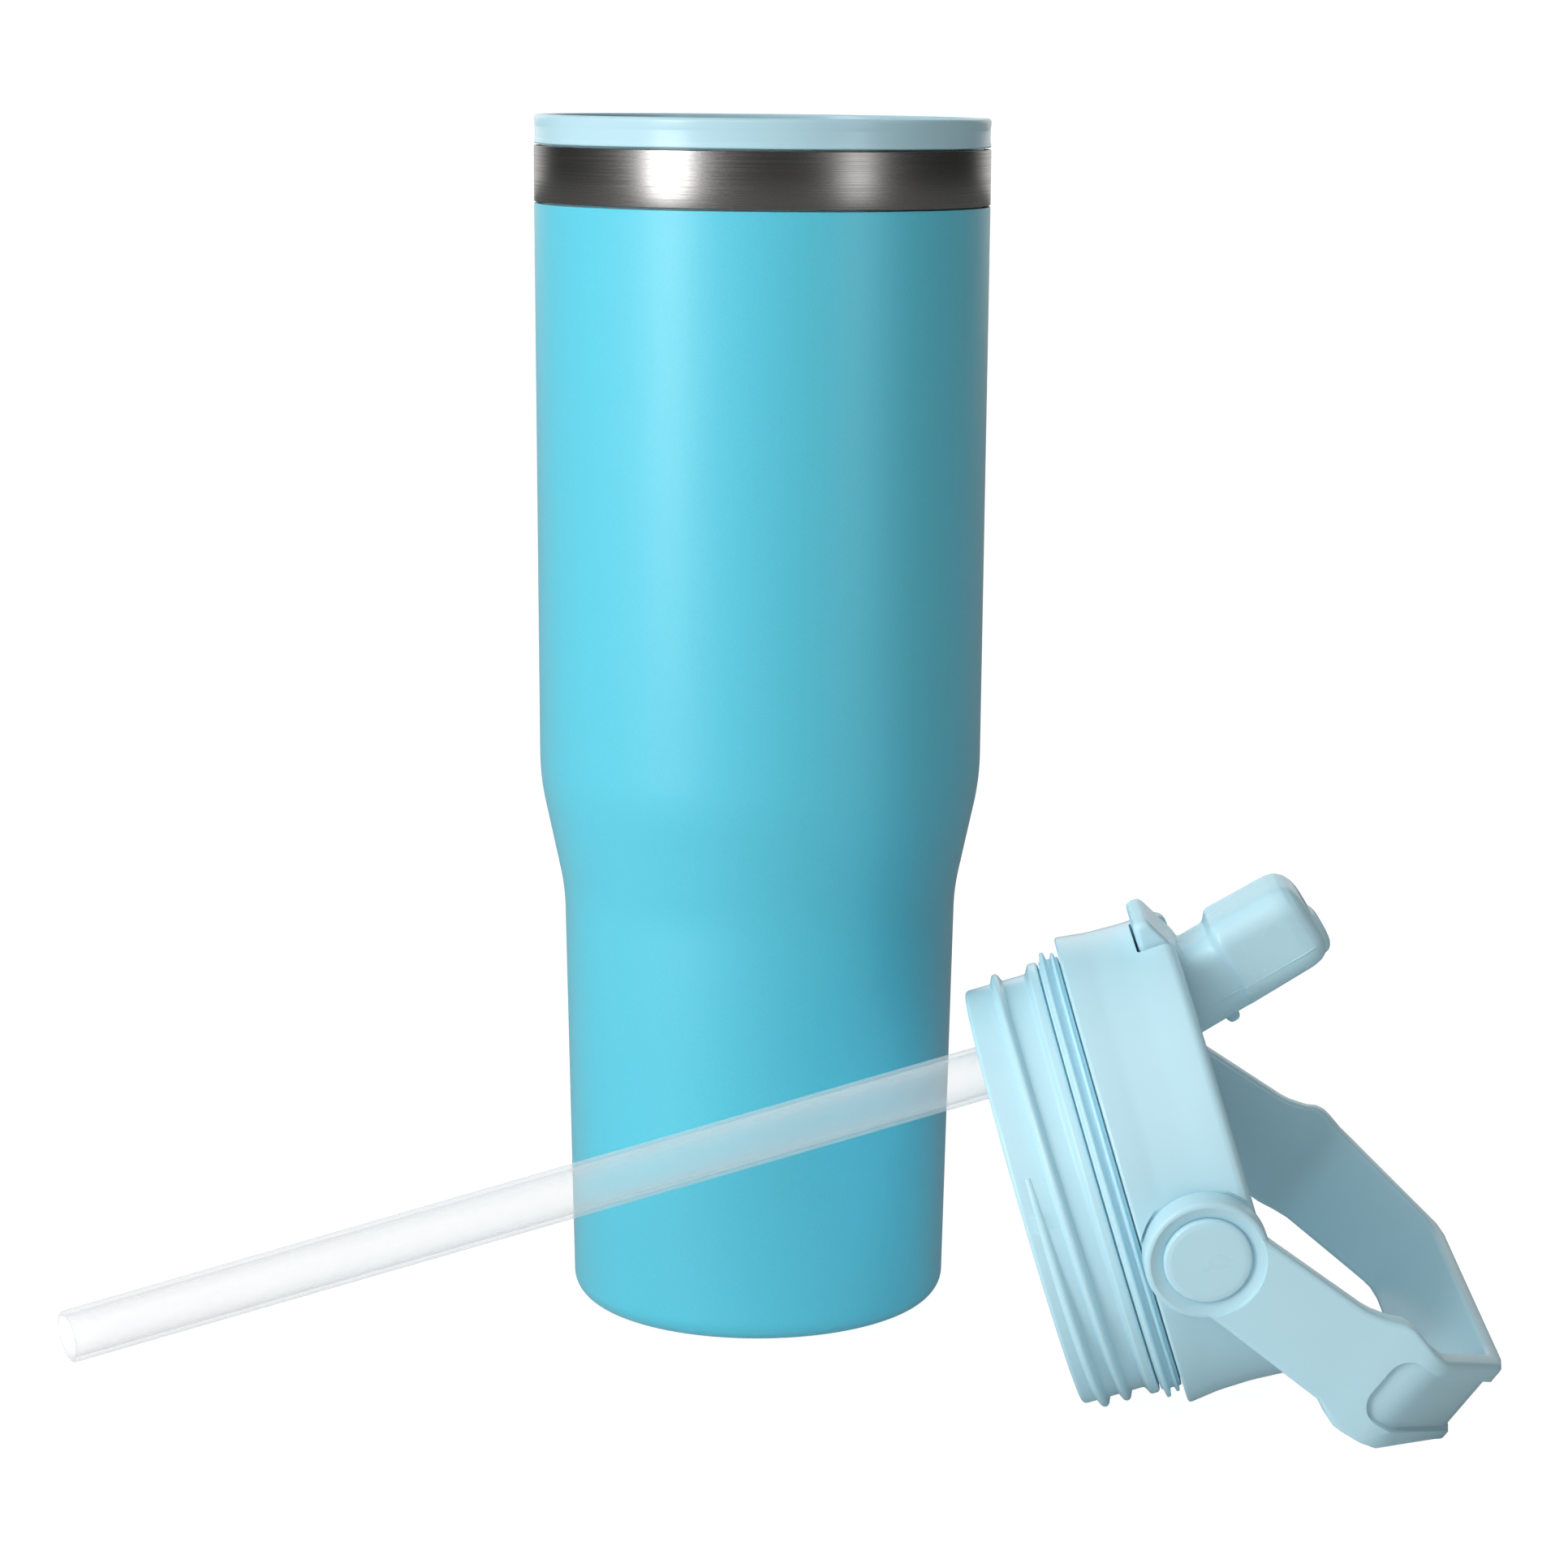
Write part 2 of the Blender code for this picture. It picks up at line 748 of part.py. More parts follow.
def bail_path(offset):
    """Corner points (across, along) of the bail, moved outward by an offset."""
    points = [(ARM_INNER, 0.0), BAIL_CORNER, BAIL_BAR, (-BAIL_BAR[0], BAIL_BAR[1])]
    moved = []
    for i, here in enumerate(points[:-1]):
        ahead = Vector(points[i + 1]) - Vector(here)
        behind = ahead if i == 0 else Vector(here) - Vector(points[i - 1])
        outward = [Vector((step.y, -step.x)).normalized() for step in (behind, ahead)]
        mitre = (outward[0] + outward[1]).normalized()
        moved.append(Vector(here) + mitre * offset / mitre.dot(outward[0]))
    return moved


def bail_rings(low, high, edges):
    """Cross-sections of the bail from the near pivot round to the far one."""
    inner = bail_path(low)
    outer = bail_path(high)
    stations = [(0.0, 0), (0.63, 0), (0.78, 0), (1.0, 0), (1.0, 1)]
    half = []
    for share, leg in stations:
        a = inner[leg].lerp(inner[leg + 1], share)
        b = outer[leg].lerp(outer[leg + 1], share)
        half.append((a, b))
    rings = []
    for mirror in (1, -1):
        order = half if mirror == 1 else half[::-1]
        spans = edges if mirror == 1 else edges[::-1]
        for (a, b), (back, front) in zip(order, spans):
            rings.append(
                [
                    (back, -mirror * a.x, a.y),
                    (back, -mirror * b.x, b.y),
                    (front, -mirror * b.x, b.y),
                    (front, -mirror * a.x, a.y),
                ]
            )
    return rings


ARM_EDGES = [(-8.6, 8.0), (-9.3, 8.2), (-11.6, 10.3), (-9.6, 9.8), (-10.0, 7.4)]
handle = add(
    "handle",
    mesh_from("handle", lofted(bail_rings(0.0, BAIL_THICKNESS, ARM_EDGES))),
    HANDLE,
    handle_axis,
)
soften(handle, 0.9, 2)
GROOVE_EDGES = [(-6.85, 5.55)] * 4 + [(-6.2, 4.9)]
groove = as_cutter(
    "bar_groove",
    mesh_from(
        "bar_groove", lofted(bail_rings(BAIL_THICKNESS - 1.0, BAIL_THICKNESS + 4.0, GROOVE_EDGES))
    ),
    handle_axis,
)
GROOVE_END = 36.6
GROOVE_MIDDLE = -0.65
GROOVE_HALF = 6.2
turns = [pi + pi * i / 12 for i in range(13)]
capsule = [
    (GROOVE_MIDDLE + GROOVE_HALF * cos(t), GROOVE_END + GROOVE_HALF + GROOVE_HALF * sin(t))
    for t in turns
] + [(GROOVE_MIDDLE + GROOVE_HALF, 80.0), (GROOVE_MIDDLE - GROOVE_HALF, 80.0)]
groove_end = as_cutter("groove_end", mesh_from("groove_end", prism(capsule, -60, 60)), handle_axis)
cut(groove, groove_end, "INTERSECT")
cut(handle, groove)
for side, name in ((-1, "near"), (1, "far")):
    hub_profile = [
        (0.0, HUB_OUTER - 2.7),
        (CAP_RADIUS + 0.5, HUB_OUTER - 2.7),
        (CAP_RADIUS + 0.5, HUB_OUTER - 1.3),
        (HUB_RADIUS - 0.9, HUB_OUTER),
        (HUB_RADIUS - 0.4, HUB_OUTER),
        (HUB_RADIUS, HUB_OUTER - 0.4),
        (HUB_RADIUS, HUB_INNER + 0.2),
        (HUB_RADIUS - 0.2, HUB_INNER),
        (0.0, HUB_INNER),
    ]
    flip = Matrix.Rotation(side * -pi / 2, 4, "X")
    hub_mesh = turned_mesh(f"hub_{name}", hub_profile, 32)
    hub_mesh.transform(flip)
    cut(handle, as_cutter(f"hub_{name}", hub_mesh, handle_axis), "UNION")
    clearing = [
        (0.0, HUB_OUTER + 5),
        (HUB_RADIUS - 0.9 + 3.85, HUB_OUTER + 5),
        (HUB_RADIUS - 0.9, HUB_OUTER),
        (CAP_RADIUS + 0.5, HUB_OUTER - 1.3),
        (CAP_RADIUS + 0.5, HUB_OUTER - 2.7),
        (0.0, HUB_OUTER - 2.7),
    ]
    dish_mesh = turned_mesh(f"dish_{name}", clearing, 32)
    dish_mesh.transform(flip)
    cut(handle, as_cutter(f"dish_{name}", dish_mesh, handle_axis))
    bore = [
        (0.0, HUB_OUTER),
        (PIN_HOLE + 0.1, HUB_OUTER),
        (PIN_HOLE + 0.1, HUB_INNER + 1.0),
        (5.8, HUB_INNER + 1.0),
        (5.8, HUB_INNER - 2),
        (0.0, HUB_INNER - 2),
    ]
    bore_mesh = turned_mesh(f"bore_{name}", bore, EDGE_SMALL)
    bore_mesh.transform(flip)
    cut(handle, as_cutter(f"bore_{name}", bore_mesh, handle_axis))

    washer = [
        (5.4, HUB_INNER + 0.7),
        (5.4, HUB_INNER + 0.0),
        (PIN_RADIUS + 0.4, HUB_INNER + 0.0),
        (PIN_RADIUS + 0.4, HUB_INNER + 0.7),
    ]
    washer_mesh = turned_mesh(f"friction_washer_{name}", washer, EDGE_SMALL)
    washer_mesh.transform(flip)
    add(f"friction_washer_{name}", washer_mesh, WASHER, handle_axis)

    pin = [
        (0.0, HUB_OUTER - 2.6),
        (PIN_RADIUS - 0.3, HUB_OUTER - 2.6),
        (PIN_RADIUS, HUB_OUTER - 2.9),
        (PIN_RADIUS, PLUG_BORE + 0.6),
        (PIN_RADIUS - 0.3, PLUG_BORE + 0.3),
        (0.0, PLUG_BORE + 0.3),
    ]
    pin_mesh = turned_mesh(f"pivot_pin_{name}", pin, 20)
    pin_mesh.transform(Matrix.Translation((0, 0, PIVOT_Z * MM)) @ flip)
    add(f"pivot_pin_{name}", pin_mesh, PIN, lid_axis)

    cap = [
        (0.0, CAP_FACE),
        (CAP_RADIUS - 1.0, CAP_FACE),
        (CAP_RADIUS - 0.3, CAP_FACE - 0.3),
        (CAP_RADIUS, CAP_FACE - 1.0),
        (CAP_RADIUS, HUB_OUTER - 2.3),
        (0.0, HUB_OUTER - 2.3),
    ]
    cap_mesh = turned_mesh(f"pivot_cap_{name}", cap, 32)
    cap_mesh.transform(Matrix.Translation((0, 0, PIVOT_Z * MM)) @ flip)
    add(f"pivot_cap_{name}", cap_mesh, CAP, lid_axis)

# The spout

spout_axis = helper("spout_axis", lid_axis, (HINGE_X, 0, HINGE_Z), -SPOUT_LEAN)


def rounded(along, inner, outer, half_width, corner, steps=4):
    """A rounded rectangle across the spout. Inner and outer are its limits toward the lid's rim."""
    ring = []
    corners = (
        (-outer + corner, -half_width + corner, pi),
        (-inner - corner, -half_width + corner, 1.5 * pi),
        (-inner - corner, half_width - corner, 0.0),
        (-outer + corner, half_width - corner, 0.5 * pi),
    )
    for x, y, start in corners:
        for i in range(steps + 1):
            t = start + 0.5 * pi * i / steps
            ring.append((x + corner * cos(t), y + corner * sin(t), along))
    return ring


spout = add(
    "spout",
    mesh_from(
        "spout",
        lofted(
            [
                rounded(2.0, -6.6, 6.6, SPOUT_HALF_WIDTH - 0.6, 3.0),
                rounded(8.0, -7.4, 7.5, SPOUT_HALF_WIDTH, 3.6),
                rounded(18.4, -7.3, 7.5, SPOUT_HALF_WIDTH, 3.8),
                rounded(20.2, -7.2, 9.2, MOUTHPIECE_HALF_WIDTH, 4.4),
                rounded(31.5, -7.0, 9.0, MOUTHPIECE_HALF_WIDTH, 4.6),
                rounded(34.0, -6.3, 7.9, MOUTHPIECE_HALF_WIDTH - 0.7, 4.4),
                rounded(35.2, -5.0, 6.3, MOUTHPIECE_HALF_WIDTH - 2.0, 3.6),
                rounded(SPOUT_LENGTH, -3.6, 4.6, MOUTHPIECE_HALF_WIDTH - 3.4, 2.8),
            ]
        ),
    ),
    SPOUT,
    spout_axis,
)
barrel = as_cutter(
    "spout_barrel",
    mesh_from(
        "spout_barrel",
        rod_y(0, 0, BARREL_SIZE, -SPOUT_HALF_WIDTH + 0.05, SPOUT_HALF_WIDTH - 0.05, steps=36),
    ),
    spout_axis,
)
cut(spout, barrel, "UNION")


def on_spout(height, outward):
    """A point of the lid's section, (height, distance toward the spout side), in the spout frame."""
    up = height - HINGE_Z
    out = outward + HINGE_X
    along = up * cos(SPOUT_LEAN) + out * sin(SPOUT_LEAN)
    across = out * cos(SPOUT_LEAN) - up * sin(SPOUT_LEAN)
    return (-across, along)


TAB_HALF_WIDTH = 6.7
TAB_SECTION = [
    (31.65, 31.0),
    (31.65, 44.8),
    (32.3, 45.6),
    (33.6, 45.7),
    (34.6, 44.7),
    (38.8, 38.4),
    (39.6, 36.0),
    (36.0, 31.0),
]
tab = as_cutter(
    "thumb_tab",
    mesh_from(
        "thumb_tab",
        prism([on_spout(*point) for point in TAB_SECTION], -TAB_HALF_WIDTH, TAB_HALF_WIDTH),
    ),
    spout_axis,
)
cut(spout, tab, "UNION")
NUB_SECTION = [(6.0, 12.9), (9.0, 13.5), (9.6, 14.2), (9.6, 15.4), (6.0, 16.0)]
NUB_HALF_WIDTH = 1.9
nub = as_cutter(
    "vent_nub",
    mesh_from("vent_nub", prism(NUB_SECTION, -NUB_HALF_WIDTH, NUB_HALF_WIDTH)),
    spout_axis,
)
cut(spout, nub, "UNION")
flow = as_cutter(
    "flow_bore", mesh_from("flow_bore", rod_z(0.0, FLOW_BORE, -12.0, 45.0)), spout_axis
)
cut(spout, flow)
NOZZLE_SHANK = 3.4
nozzle_seat = as_cutter(
    "nozzle_seat",
    mesh_from("nozzle_seat", rod_z(0.0, NOZZLE_SHANK + FIT_GAP, 32.6, 45.0)),
    spout_axis,
)
cut(spout, nozzle_seat)
for side, name in ((-1, "near"), (1, "far")):
    ends = sorted((side * 4.6, side * 20.0))
    socket = as_cutter(
        f"spout_pin_socket_{name}",
        mesh_from(
            f"spout_pin_socket_{name}", rod_y(0, 0, SPOUT_PIN_RADIUS + FIT_GAP, *ends, steps=16)
        ),
        spout_axis,
    )
    cut(spout, socket)
    reach = sorted((side * 4.9, side * (TROUGH_HALF_WIDTH + TROUGH_WALL)))
    add(
        f"spout_pin_{name}",
        mesh_from(
            f"spout_pin_{name}", rod_y(HINGE_X, HINGE_Z, SPOUT_PIN_RADIUS, *reach, steps=16)
        ),
        PIN,
        lid_axis,
    )
add(
    "spout_nozzle",
    turned_mesh(
        "spout_nozzle",
        [
            (2.4, 36.9),
            (3.0, 36.8),
            (3.35, 36.2),
            (NOZZLE_SHANK, 35.6),
            (NOZZLE_SHANK, 32.9),
            (2.0, 32.9),
            (2.0, 36.6),
        ],
        EDGE_SMALL,
    ),
    NOZZLE,
    spout_axis,
)

# The straw

straw_axis = helper("straw_axis", lid_axis, (STRAW_X, 0, 0))
screwed(
    "straw",
    [
        (STRAW_BORE + 0.1, STRAW_TOP),
        (STRAW_RADIUS - 0.2, STRAW_TOP),
        (STRAW_RADIUS, STRAW_TOP - 0.2),
        (STRAW_RADIUS, -STRAW_REACH + 0.3),
        (STRAW_RADIUS - 0.2, -STRAW_REACH),
        (STRAW_BORE + 0.1, -STRAW_REACH),
        (STRAW_BORE, -STRAW_REACH + 0.3),
        (STRAW_BORE, STRAW_TOP - 0.3),
    ],
    32,
    STRAW,
    straw_axis,
)
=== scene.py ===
"""Looks for the insulated straw bottle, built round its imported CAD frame.

The bottle stands open and its screw lid lies beside it with the straw still in the socket. Every
visible piece is rebuilt here at a finer resolution in the same place as its CAD node, and rides on the
same body. Sizes below are in millimetres: the bottle's from its base, the lid's from the mouth of its
plug, the handle's from its pivot and the spout's from its hinge.
"""

import json
from math import atan2, cos, pi, radians, sin, tan

import bmesh
import bpy
from mathutils import Matrix, Vector


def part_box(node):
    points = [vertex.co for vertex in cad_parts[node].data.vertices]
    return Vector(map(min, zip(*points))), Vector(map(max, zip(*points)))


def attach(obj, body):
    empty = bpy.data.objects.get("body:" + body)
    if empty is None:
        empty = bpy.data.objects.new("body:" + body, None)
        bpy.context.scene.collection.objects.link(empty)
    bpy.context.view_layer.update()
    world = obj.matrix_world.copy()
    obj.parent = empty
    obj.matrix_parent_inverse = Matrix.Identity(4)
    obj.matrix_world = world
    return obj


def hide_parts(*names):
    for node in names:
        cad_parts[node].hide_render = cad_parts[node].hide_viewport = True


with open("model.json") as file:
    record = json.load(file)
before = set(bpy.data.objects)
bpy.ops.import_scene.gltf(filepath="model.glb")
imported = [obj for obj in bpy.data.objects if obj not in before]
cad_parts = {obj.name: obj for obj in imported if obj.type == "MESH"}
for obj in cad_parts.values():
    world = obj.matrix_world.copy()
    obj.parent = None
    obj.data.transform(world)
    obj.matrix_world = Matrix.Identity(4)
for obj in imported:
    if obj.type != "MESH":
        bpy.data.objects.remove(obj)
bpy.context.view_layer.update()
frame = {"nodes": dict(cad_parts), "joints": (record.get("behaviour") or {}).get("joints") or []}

MM = 0.001

# Segments round a turned piece
FINE = 224
MEDIUM = 128
COARSE = 64

# The two sides of the lid: the pivot on the camera's side, and the one behind
SIDES = ((-1, "near"), (1, "far"))

# The screw thread, cut the same way on the collar and the lid
THREAD_START = radians(-118)
THREAD_PITCH = 4.0
THREAD_TURNS = 1.5

# Frames of the moving parts, from the joints
joints = {joint["name"]: joint for joint in frame["joints"]}
PIVOT_HEIGHT = 27.9
across = Vector(joints["handle_swing"]["axis"]).normalized()
up_lid = -Vector(joints["straw_pull"]["axis"]).normalized()
side_lid = across.cross(up_lid).normalized()
pivot = Vector(joints["handle_swing"]["pos_m"])
HANDLE_TILT = radians(-joints["handle_swing"]["range_deg"][0])
SPOUT_LEAN = radians(joints["spout_flip"]["range_deg"][1] - 90)


def frame_at(point):
    """A frame at a point with the lid's own axes."""
    lid_axes = Matrix((side_lid, across, up_lid)).transposed().to_4x4()
    return Matrix.Translation(point) @ lid_axes


def moved_along(x):
    """A shift along the lid's or the spout's X."""
    return Matrix.Translation((x * MM, 0, 0))


def facing(side):
    """Turns Z to the pivot axis, pointing out of one side of the lid."""
    return Matrix.Rotation(side * -pi / 2, 4, "X")


BOTTLE = Matrix.Identity(4)
LID = frame_at(pivot - up_lid * PIVOT_HEIGHT * MM)
HANDLE = frame_at(pivot) @ Matrix.Rotation(HANDLE_TILT, 4, "Y")
SPOUT = frame_at(Vector(joints["spout_flip"]["pos_m"])) @ Matrix.Rotation(-SPOUT_LEAN, 4, "Y")


# Mesh building

def rounded(corners, segments=7, closed=True):
    """An outline through corners (x, y, radius), each one rounded to its radius."""
    out = []
    count = len(corners)
    for i, (x, y, radius) in enumerate(corners):
        here = Vector((x, y))
        if radius <= 0 or (not closed and i in (0, count - 1)):
            out.append((x, y))
            continue
        before = Vector(corners[i - 1][:2]) - here
        after = Vector(corners[(i + 1) % count][:2]) - here
        half = before.angle(after) / 2
        reach = min(radius / tan(half), 0.49 * before.length, 0.49 * after.length)
        size = reach * tan(half)
        centre = here + (before.normalized() + after.normalized()).normalized() * size / sin(half)
        start = here + before.normalized() * reach - centre
        end = here + after.normalized() * reach - centre
        sweep = start.angle_signed(end)
        first = atan2(start.y, start.x)
        for k in range(segments + 1):
            turn = first - sweep * k / segments
            out.append((centre.x + size * cos(turn), centre.y + size * sin(turn)))
    return out


def turned(profile, steps):
    """Points and faces of an outline (radius, height) turned about Z. Ends at radius 0 close it."""
    points, rows, faces = [], [], []
    for radius, height in profile:
        if radius < 1e-6:
            rows.append([len(points)] * steps)
            points.append((0.0, 0.0, height))
            continue
        rows.append([len(points) + i for i in range(steps)])
        points += [
            (radius * cos(2 * pi * i / steps), radius * sin(2 * pi * i / steps), height)
            for i in range(steps)
        ]
    open_ends = profile[0][0] < 1e-6 and profile[-1][0] < 1e-6
    pairs = list(zip(rows, rows[1:] + rows[:1]))
    for a, b in pairs[:-1] if open_ends else pairs:
        for i in range(steps):
            j = (i + 1) % steps
            face = tuple(dict.fromkeys((a[i], b[i], b[j], a[j])))
            if len(face) > 2:
                faces.append(face)
    return points, faces


def lofted(rings):
    """Points and faces of a skin over rings with equal counts, closed at both ends."""
    count = len(rings[0])
    points = [point for ring in rings for point in ring]
    faces = [tuple(reversed(range(count)))]
    for row in range(len(rings) - 1):
        base = row * count
        for i in range(count):
            j = (i + 1) % count
            faces.append((base + i, base + j, base + count + j, base + count + i))
    last = (len(rings) - 1) * count
    faces.append(tuple(last + i for i in range(count)))
    return points, faces


def prism(outline, low, high):
    """An outline in the XZ plane run along Y."""
    return lofted([[(x, low, z) for x, z in outline], [(x, high, z) for x, z in outline]])


def pillow(outline, low, high, edge, steps=5):
    """A prism along Y with its ends rounded over, by shrinking toward the outline's middle."""
    middle = sum((Vector(p) for p in outline), Vector((0, 0))) / len(outline)
    rings = []
    for end, way in ((low, 1), (high, -1)):
        part = []
        for k in range(steps + 1):
            turn = 0.5 * pi * k / steps
            inset = edge * (1 - sin(turn))
            y = end + way * edge * (1 - cos(turn))
            ring = []
            for x, z in outline:
                away = Vector((x, z)) - middle
                away *= max(0.0, 1 - inset / away.length)
                ring.append((middle.x + away.x, y, middle.y + away.y))
            part.append(ring)
        rings += part if way == 1 else part[::-1]
    return lofted(rings)


def ridge(crest, root, base_half, crest_half, start, steps=260):
    """A thread ridge with a rounded crest, fading in and out over a tenth of its length."""
    rings = []
    for i in range(steps + 1):
        along = i / steps
        turn = THREAD_START + along * THREAD_TURNS * 2 * pi
        z = start + along * THREAD_TURNS * THREAD_PITCH
        fade = min(1.0, along * 10, (1 - along) * 10)
        tip = root + (crest - root) * (0.3 + 0.7 * fade)
        inward = 0.22 * (crest - root)
        section = (
            (root, z - base_half),
            (tip - inward, z - crest_half - 0.1),
            (tip - inward * 0.25, z - crest_half * 0.75),
            (tip, z - crest_half * 0.25),
            (tip, z + crest_half * 0.25),
            (tip - inward * 0.25, z + crest_half * 0.75),
            (tip - inward, z + crest_half + 0.1),
            (root, z + base_half),
        )
        rings.append([(r * cos(turn), r * sin(turn), h) for r, h in section])
    return lofted(rings)


def mesh_of(name, shape, local=None):
    """A clean mesh in metres from points and faces in millimetres."""
    points, faces = shape
    mesh = bpy.data.meshes.new(name)
    mesh.from_pydata([Vector(p) * MM for p in points], [], faces)
    if local is not None:
        mesh.transform(local)
    skin = bmesh.new()
    skin.from_mesh(mesh)
    bmesh.ops.remove_doubles(skin, verts=skin.verts, dist=1e-7)
    bmesh.ops.dissolve_degenerate(skin, edges=skin.edges, dist=1e-8)
    bmesh.ops.recalc_face_normals(skin, faces=skin.faces)
    skin.to_mesh(mesh)
    skin.free()
    return mesh


def raw(name, shape, local=None):
    """A new object that isn't a piece yet."""
    obj = bpy.data.objects.new(name, mesh_of(name, shape, local))
    bpy.context.scene.collection.objects.link(obj)
    return obj


def rod(name, radius, low, high, steps, local=None):
    """A plain cylinder along Z that cuts a bore."""
    return raw(name, turned([(0, high), (radius, high), (radius, low), (0, low)], steps), local)


def applied(obj):
    """Replaces an object's mesh by what its modifiers make of it."""
    bpy.context.view_layer.update()
    graph = bpy.context.evaluated_depsgraph_get()
    baked = bpy.data.meshes.new_from_object(obj.evaluated_get(graph))
    obj.modifiers.clear()
    obj.data = baked
    return obj


def combine(obj, *steps):
    """Boolean steps, each (operation, other object), then the others are removed."""
    for operation, other in steps:
        step = obj.modifiers.new(other.name, "BOOLEAN")
        step.operation = operation
        step.solver = "EXACT"
        step.object = other
    applied(obj)
    for _, other in steps:
        bpy.data.objects.remove(other)
    return obj


def melted(obj, voxel, rounds):
    """One skin over overlapping shapes, with its edges and inner corners softened."""
    remesh = obj.modifiers.new("skin", "REMESH")
    remesh.mode = "VOXEL"
    remesh.voxel_size = voxel * MM
    smooth = obj.modifiers.new("soften", "SMOOTH")
    smooth.factor = 0.5
    smooth.iterations = rounds
    return applied(obj)


def piece(obj, place, body, finish, slot, *nodes, sharp=38):
    """Puts a finished mesh in its frame, on its body, in place of its CAD nodes."""
    obj.data.transform(place)
    obj.data.materials.clear()
    obj.data.materials.append(finish)
    obj.data.shade_smooth()
    obj.data.set_sharp_from_angle(angle=radians(sharp))
    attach(obj, body)
    if nodes:
        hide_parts(*nodes)
    return obj


# Materials

def blank(name):
    """A new material with its node tree and shader."""
    made = bpy.data.materials.new(name)
    made.use_nodes = True
    tree = made.node_tree
    return made, tree, tree.nodes["Principled BSDF"]


def coordinates(tree, scale=(1, 1, 1)):
    """Object coordinates, in metres."""
    where = tree.nodes.new("ShaderNodeTexCoord")
    mapping = tree.nodes.new("ShaderNodeMapping")
    mapping.inputs["Scale"].default_value = scale
    tree.links.new(where.outputs["Object"], mapping.inputs["Vector"])
    return mapping.outputs["Vector"]


def noise(tree, vector, scale, detail=3.0, roughness=0.5):
    made = tree.nodes.new("ShaderNodeTexNoise")
    made.inputs["Scale"].default_value = scale
    made.inputs["Detail"].default_value = detail
    made.inputs["Roughness"].default_value = roughness
    tree.links.new(vector, made.inputs["Vector"])
    return made.outputs["Fac"]


def between(tree, value, low, high, dark=0.2, light=0.8):
    """Maps a value, such as a noise between dark and light, onto the range from low to high."""
    made = tree.nodes.new("ShaderNodeMapRange")
    made.inputs["From Min"].default_value = dark
    made.inputs["From Max"].default_value = light
    made.inputs["To Min"].default_value = low
    made.inputs["To Max"].default_value = high
    tree.links.new(value, made.inputs["Value"])
    return made.outputs["Result"]


def tinted(tree, value, low, high):
    """A colour between two, by a noise value."""
    made = tree.nodes.new("ShaderNodeMix")
    made.data_type = "RGBA"
    made.inputs[6].default_value = (*low, 1)
    made.inputs[7].default_value = (*high, 1)
    tree.links.new(between(tree, value, 0, 1), made.inputs[0])
    return made.outputs[2]


def bumped(tree, shader, *layers):
    """Bump from layers of (height value, depth in mm)."""
    normal = None
    for value, depth in layers:
        made = tree.nodes.new("ShaderNodeBump")
        made.inputs["Strength"].default_value = 1.0
        made.inputs["Distance"].default_value = depth * MM
        tree.links.new(value, made.inputs["Height"])
        if normal is not None:
            tree.links.new(normal, made.inputs["Normal"])
        normal = made.outputs["Normal"]
    tree.links.new(normal, shader.inputs["Normal"])


def scaled(colour, factor):
    return tuple(min(1.0, c * factor) for c in colour)


def moulded(name, colour, roughness=0.3, grain=0.004, translucency=0.0, spread=0.012):
    """Moulded plastic or silicone: slight colour drift and a fine spark-eroded grain."""
    made, tree, shader = blank(name)
    vector = coordinates(tree)
    drift = noise(tree, vector, 38, 4)
    tree.links.new(
        tinted(tree, drift, scaled(colour, 1 - spread), scaled(colour, 1 + spread)),
        shader.inputs["Base Color"],
    )
    wear = noise(tree, vector, 95, 3)
    tree.links.new(
        between(tree, wear, roughness - 0.02, roughness + 0.03), shader.inputs["Roughness"]
    )
    waviness = (noise(tree, vector, 110, 1), grain * 2)
    texture = (noise(tree, vector, 2600, 2), grain / 3)
    bumped(tree, shader, waviness, texture)
    shader.inputs["Subsurface Weight"].default_value = translucency
    shader.inputs["Subsurface Radius"].default_value = (0.5, 0.9, 1.0)
    shader.inputs["Subsurface Scale"].default_value = 0.0022
    shader.inputs["IOR"].default_value = 1.47
    return made


def powder_coat(name, colour):
    """Satin powder coat: faint orange peel, fine specks and an even sheen."""
    made, tree, shader = blank(name)
    vector = coordinates(tree)
    specks = noise(tree, vector, 3200, 2)
    tree.links.new(
        tinted(tree, specks, scaled(colour, 0.955), scaled(colour, 1.04)),
        shader.inputs["Base Color"],
    )
    tree.links.new(
        between(tree, noise(tree, vector, 420, 4), 0.34, 0.41), shader.inputs["Roughness"]
    )
    orange_peel = (noise(tree, vector, 520, 2), 0.010)
    grit = (noise(tree, vector, 2400, 3), 0.006)
    bumped(tree, shader, orange_peel, grit)
    shader.inputs["IOR"].default_value = 1.5
    shader.inputs["Coat Weight"].default_value = 0.9
    shader.inputs["Coat Roughness"].default_value = 0.5
    shader.inputs["Sheen Weight"].default_value = 0.22
    shader.inputs["Sheen Roughness"].default_value = 0.45
    return made


def steel(name, colour, roughness, streak, depth, anisotropy=0.0):
    """Steel with a directional finish: streak stretches the scratches along each axis."""
    made, tree, shader = blank(name)
    vector = coordinates(tree, streak)
    lines = noise(tree, vector, 1.0, 6, 0.7)
    tree.links.new(
        tinted(tree, lines, scaled(colour, 0.72), scaled(colour, 1.2)),
        shader.inputs["Base Color"],
    )
    tree.links.new(
        between(tree, lines, roughness + 0.08, roughness - 0.06), shader.inputs["Roughness"]
    )
    bumped(tree, shader, (lines, depth))
    shader.inputs["Metallic"].default_value = 1.0
    shader.inputs["Anisotropic"].default_value = anisotropy
    return made


